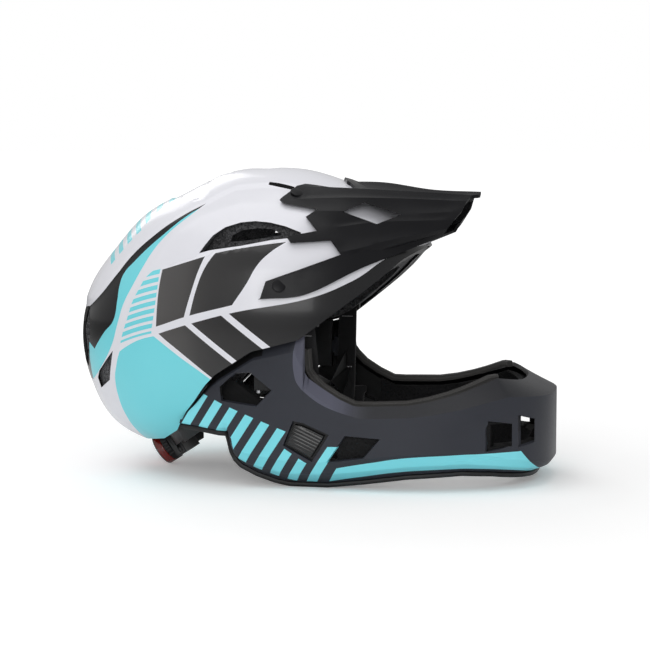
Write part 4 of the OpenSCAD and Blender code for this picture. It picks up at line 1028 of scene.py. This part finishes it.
def webbing(name, path, widths, node, twin=None, bends=None):
    """A strap along a path, with the direction of its width at each point. If bends is given, the strap
    rides on no body and its place is baked into its points."""
    path, widths = np.array(path, float), np.array(widths, float)
    widths /= lengths(widths)
    n = len(path) - 1
    length = np.sum(np.linalg.norm(np.diff(path, axis=0), axis=1))

    def place(u, v):
        s = u * n
        wide = along(widths, s)
        out = np.cross(along(path, np.minimum(s + 0.05, n)) - along(path, np.maximum(s - 0.05, 0)), wide)
        out /= lengths(out)
        across = (v - 0.5) * WEB_W
        # The edges are thinner
        lift = WEB_T / 2 - 0.25 * np.clip((np.abs(across) - 6.2) / 1.3, 0, 1) ** 2
        return (along(path, s) + across[:, None] * wide + lift[:, None] * out).T

    obj = shaped_grid(name, 120, 18, place)
    for loop in obj.data.uv_layers.active.data:
        loop.uv = (loop.uv[0] * length, loop.uv[1] * WEB_W)
    modify(obj, "SOLIDIFY", thickness=WEB_T * MM, offset=-1)
    smooth(obj, 40)
    if twin:
        other = mirrored(obj, name.replace("right", "left"))
        stand_for(other, twin, WEB)
    if bends:
        painted(obj, WEB)
        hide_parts(node)
        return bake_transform(obj)
    return stand_for(obj, node, WEB)


ALONG = (1, 0, 0)
SLANT = (0.57, 0, 0.82)
FRONT_PATH = [
    (5, -80.5, 120), (5.5, -77, 108), (6, -73, 94), (6, -70.5, 76), (6, -69, 58), (5.5, -68.2, 48),
    (5, -68, 38.2)]
REAR_PATH = [
    (-70, -79, 84), (-62, -77, 77), (-40, -71, 60), (-20, -67.5, 48), (-7, -66, 42.5), (1, -65.6, 38.2)]
CHIN_PATH = [(4, -66.6, 28.3), (8, -60, 22), (13, -50, 16.5), (18, -40, 13), (22, -29, 11.2), (24, -19.2, 11)]
webbing("front_web_right", FRONT_PATH, [ALONG] * 7, "front_strap_right", "front_strap_left")
webbing("rear_web_right", REAR_PATH, [ALONG, SLANT, SLANT, SLANT, (0.85, 0, 0.5), ALONG], "rear_strap_right",
        "rear_strap_left")
webbing("chin_web_right", CHIN_PATH, [ALONG] * 6, "chin_strap_right", "chin_strap_left", ("helmet", "clip"))


# Pads

GROW = 2.0  # the most that a point of a pad moves
VOXEL = 3.5 if FINE else 5.0
CLOTH_FRAMES = 20


def blown(node, outer=GROW):
    """A pad blown up from its CAD solid by a cloth simulation. No point moves further than outer towards
    the right."""
    obj = copy_of(node, node + "_fabric", 0.1)
    modify(obj, "REMESH", mode="VOXEL", voxel_size=VOXEL * MM)
    if FINE:
        rest = points_of(obj)
        active(obj)
        cloth = obj.modifiers.new("cloth", "CLOTH")
        cloth.settings.use_pressure = True
        cloth.settings.uniform_pressure_force = 4
        cloth.settings.effector_weights.gravity = 0
        cloth.settings.quality = 5
        cloth.point_cache.frame_start, cloth.point_cache.frame_end = 1, CLOTH_FRAMES
        for number in range(1, CLOTH_FRAMES + 1):
            bpy.context.scene.frame_set(number)
        bpy.ops.object.modifier_apply(modifier=cloth.name)
        bpy.context.scene.frame_set(1)
        moved = points_of(obj) - rest
        size = lengths(moved)
        moved *= np.minimum(1, GROW * MM / np.maximum(size, 1e-9))
        moved[:, 1] = np.maximum(moved[:, 1], -outer * MM)
        set_points(obj, rest + moved)
    modify(obj, "SUBSURF", levels=1)
    return smooth(obj, 60)


CHANNEL_W, CHANNEL_DEPTH = 2.2, 1.4


def sewn(obj, lines):
    """Presses sewn channels into a pad. Each line is an axis and the channel's place on it from the pad's
    middle."""
    co = points_of(obj) / MM
    middle = (co.min(axis=0) + co.max(axis=0)) / 2
    normal = np.empty(co.size)
    obj.data.vertices.foreach_get("normal", normal)
    depth = sum(np.exp(-((co[:, axis] - middle[axis] - place) / CHANNEL_W) ** 2) for axis, place in lines)
    set_points(obj, (co - normal.reshape(-1, 3) * (CHANNEL_DEPTH * depth)[:, None]) * MM)
    return obj


def pad(node, twin, lines, outer=GROW):
    obj = sewn(blown(node, outer), lines)
    if twin:
        other = mirrored(obj, twin + "_fabric")
        stand_for(other, twin, PAD)
    return stand_for(obj, node, PAD)


X_AXIS, Y_AXIS = 0, 1
pad("brow_pad", None, ((Y_AXIS, -32), (Y_AXIS, 0), (Y_AXIS, 32)))
pad("crown_pad", None, ((X_AXIS, -20), (X_AXIS, 20)))
pad("rear_pad", None, ((Y_AXIS, -16), (Y_AXIS, 16)))
pad("side_pad_right", "side_pad_left", ((X_AXIS, -18), (X_AXIS, 18)))
# The cheek pads keep clear of the pressed release buttons
pad("cheek_pad_right", "cheek_pad_left", ((X_AXIS, -12), (X_AXIS, 14)), 0.0)


# Springs, wound round the button stems

COIL_R, WIRE_R, TURNS, COIL_STEPS = 4.1, 0.45, 5, 120
COIL_SEAT = 0.6  # from the coil's middle line to its seat


def spring(node):
    low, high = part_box(node)
    middle = (Vector(low) + Vector(high)) / 2
    length = high[1] - low[1]
    bpy.ops.mesh.primitive_circle_add(vertices=10, radius=WIRE_R * MM)
    coil = bpy.context.active_object
    coil.name = coil.data.name = node + "_coil"
    co = points_of(coil)
    set_points(coil, np.stack([co[:, 0] + COIL_R * MM, np.zeros(len(co)), co[:, 1]], axis=1))
    modify(coil, "SCREW", axis="Z", angle=math.radians(360 * TURNS), steps=COIL_STEPS,
           render_steps=COIL_STEPS, screw_offset=length - 2 * COIL_SEAT * MM, use_merge_vertices=False)
    co = points_of(coil)
    foot = low[1] + COIL_SEAT * MM
    set_points(coil, np.stack([middle.x + co[:, 0], foot + co[:, 2], middle.z + co[:, 1]], axis=1))
    in_edit(coil, outward)
    stand_for(smooth(coil, 60), node, STEEL)
    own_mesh(coil)


spring("latch_spring_right")
spring("latch_spring_left")


# Hard parts: rounded edges and their materials

def pair(name):
    return name + "_left", name + "_right"


for material, slot, width, segments, names in (
        (TRIM, "trim", 0.7, 2, (*pair("strap_divider"), "buckle_socket", "buckle_clip", "dial_housing",
                                "nape_bracket", *pair("guard_mount"))),
        (GLOSS, "trim", 0.9, 3, pair("latch_button")),
        (VISOR, "visor", 0.5, 2, ("visor_plugs",)),
        (TRIM, "trim", 0.3, 2, ("dial_knob", "light_case")),
        (LENS, "lens", 0.5, 3, ("light_lens", "light_button")),
        (TRIM, "trim", 0.25, 2, pair("temple_arm") + pair("band")),
        (GUARD, "guard", 0.4, 2, pair("guard_tongue"))):
    for name in names:
        rounded(name, material, width, segments)
for name in ("brow_trim", "nape_trim"):
    stand_for(smooth(copy_of(name, name + "_skin", 0.1), 40), name, TRIM)

# CAD nodes that show as they are
for material, names in ((TRIM, (*pair("latch_housing"), "strap_anchors", "visor_sockets", "dial_pinion")),
                        (FOAM, pair("cheek_block")), (STEEL, ("mount_screws", "coin_cell")),
                        (BOARD, ("light_board",))):
    for name in names:
        painted(frame["nodes"][name], material)

deselect()


# Floor, light and camera

FLOOR_REACH = 30000
NEAR, FAR = 250.0, 1100.0  # the floor turns bright between these
FLOOR_GLOW = 0.18  # its own light near the helmet, as the camera sees it
AMBIENT = 0.5  # the backdrop's light on the helmet


def grey(level):
    return (level, level, level, 1)


def floor_paint():
    """Pale near the helmet, for its shadow, and as bright as the backdrop further out."""
    p = Paint("floor_paint", Roughness=0.7, Specular_IOR_Level=0.0)
    at, (x, y, _z) = p.place()
    far = p.node("MapRange", ((x * x + y * y).math("SQRT"), NEAR, FAR, 0.0, 1.0))
    seen = p.node("LightPath", out="Is Camera Ray")
    p.set("Base Color", p.mix(far, grey(0.95), grey(0.3)))
    p.set("Emission Color", p.mix(p.noise(0.01, at), grey(0.99), grey(1)))
    p.set("Emission Strength", seen * (far * (1 - FLOOR_GLOW) + FLOOR_GLOW))
    return p.material


def floor_place(u, v):
    return FLOOR_REACH * (2 * u - 1), FLOOR_REACH * (2 * v - 1), np.zeros_like(u)


floor = painted(shaped_grid("floor", 2, 2, floor_place), floor_paint())

world = bpy.data.worlds.new("studio")
bpy.context.scene.world = world
sky = Paint("studio", world, Color=grey(1))
sky.set("Strength", sky.node("LightPath", out="Is Camera Ray") * (1 - AMBIENT) + AMBIENT)

for name, at, aim, size, power in (("key", (-0.3, -0.3, 1.8), (0, 0, 0.1), 1.6, 11),
                                   ("side", (0.2, -2.2, 0.8), (0, 0, 0.12), 1.2, 14),
                                   ("rim", (-0.9, 1.2, 1.0), (0, 0, 0.15), 0.8, 4)):
    data = bpy.data.lights.new(name, "AREA")
    data.size, data.energy = size, power
    lamp = linked(bpy.data.objects.new(name, data))
    lamp.location = at
    lamp.rotation_euler = (Vector(aim) - Vector(at)).to_track_quat("-Z", "Y").to_euler()

AZIMUTH, ELEVATION, DISTANCE = math.radians(12), math.radians(5.6), 1.5
TARGET = Vector((0.003, 0, 0.1135))
FRAME_HALF = 0.2535  # half of what the picture shows across at the target, in metres
SENSOR = 36
camera_data = bpy.data.cameras.new("camera")
camera = linked(bpy.data.objects.new("camera", camera_data))
bpy.context.scene.camera = camera
away = Vector((math.sin(AZIMUTH), -math.cos(AZIMUTH), math.tan(ELEVATION))).normalized()
camera.location = TARGET + away * DISTANCE
camera.rotation_euler = (-away).to_track_quat("-Z", "Y").to_euler()
camera_data.sensor_width = SENSOR
camera_data.lens = SENSOR / 2 / (FRAME_HALF / DISTANCE)

bpy.context.scene.view_settings.view_transform = "Standard"
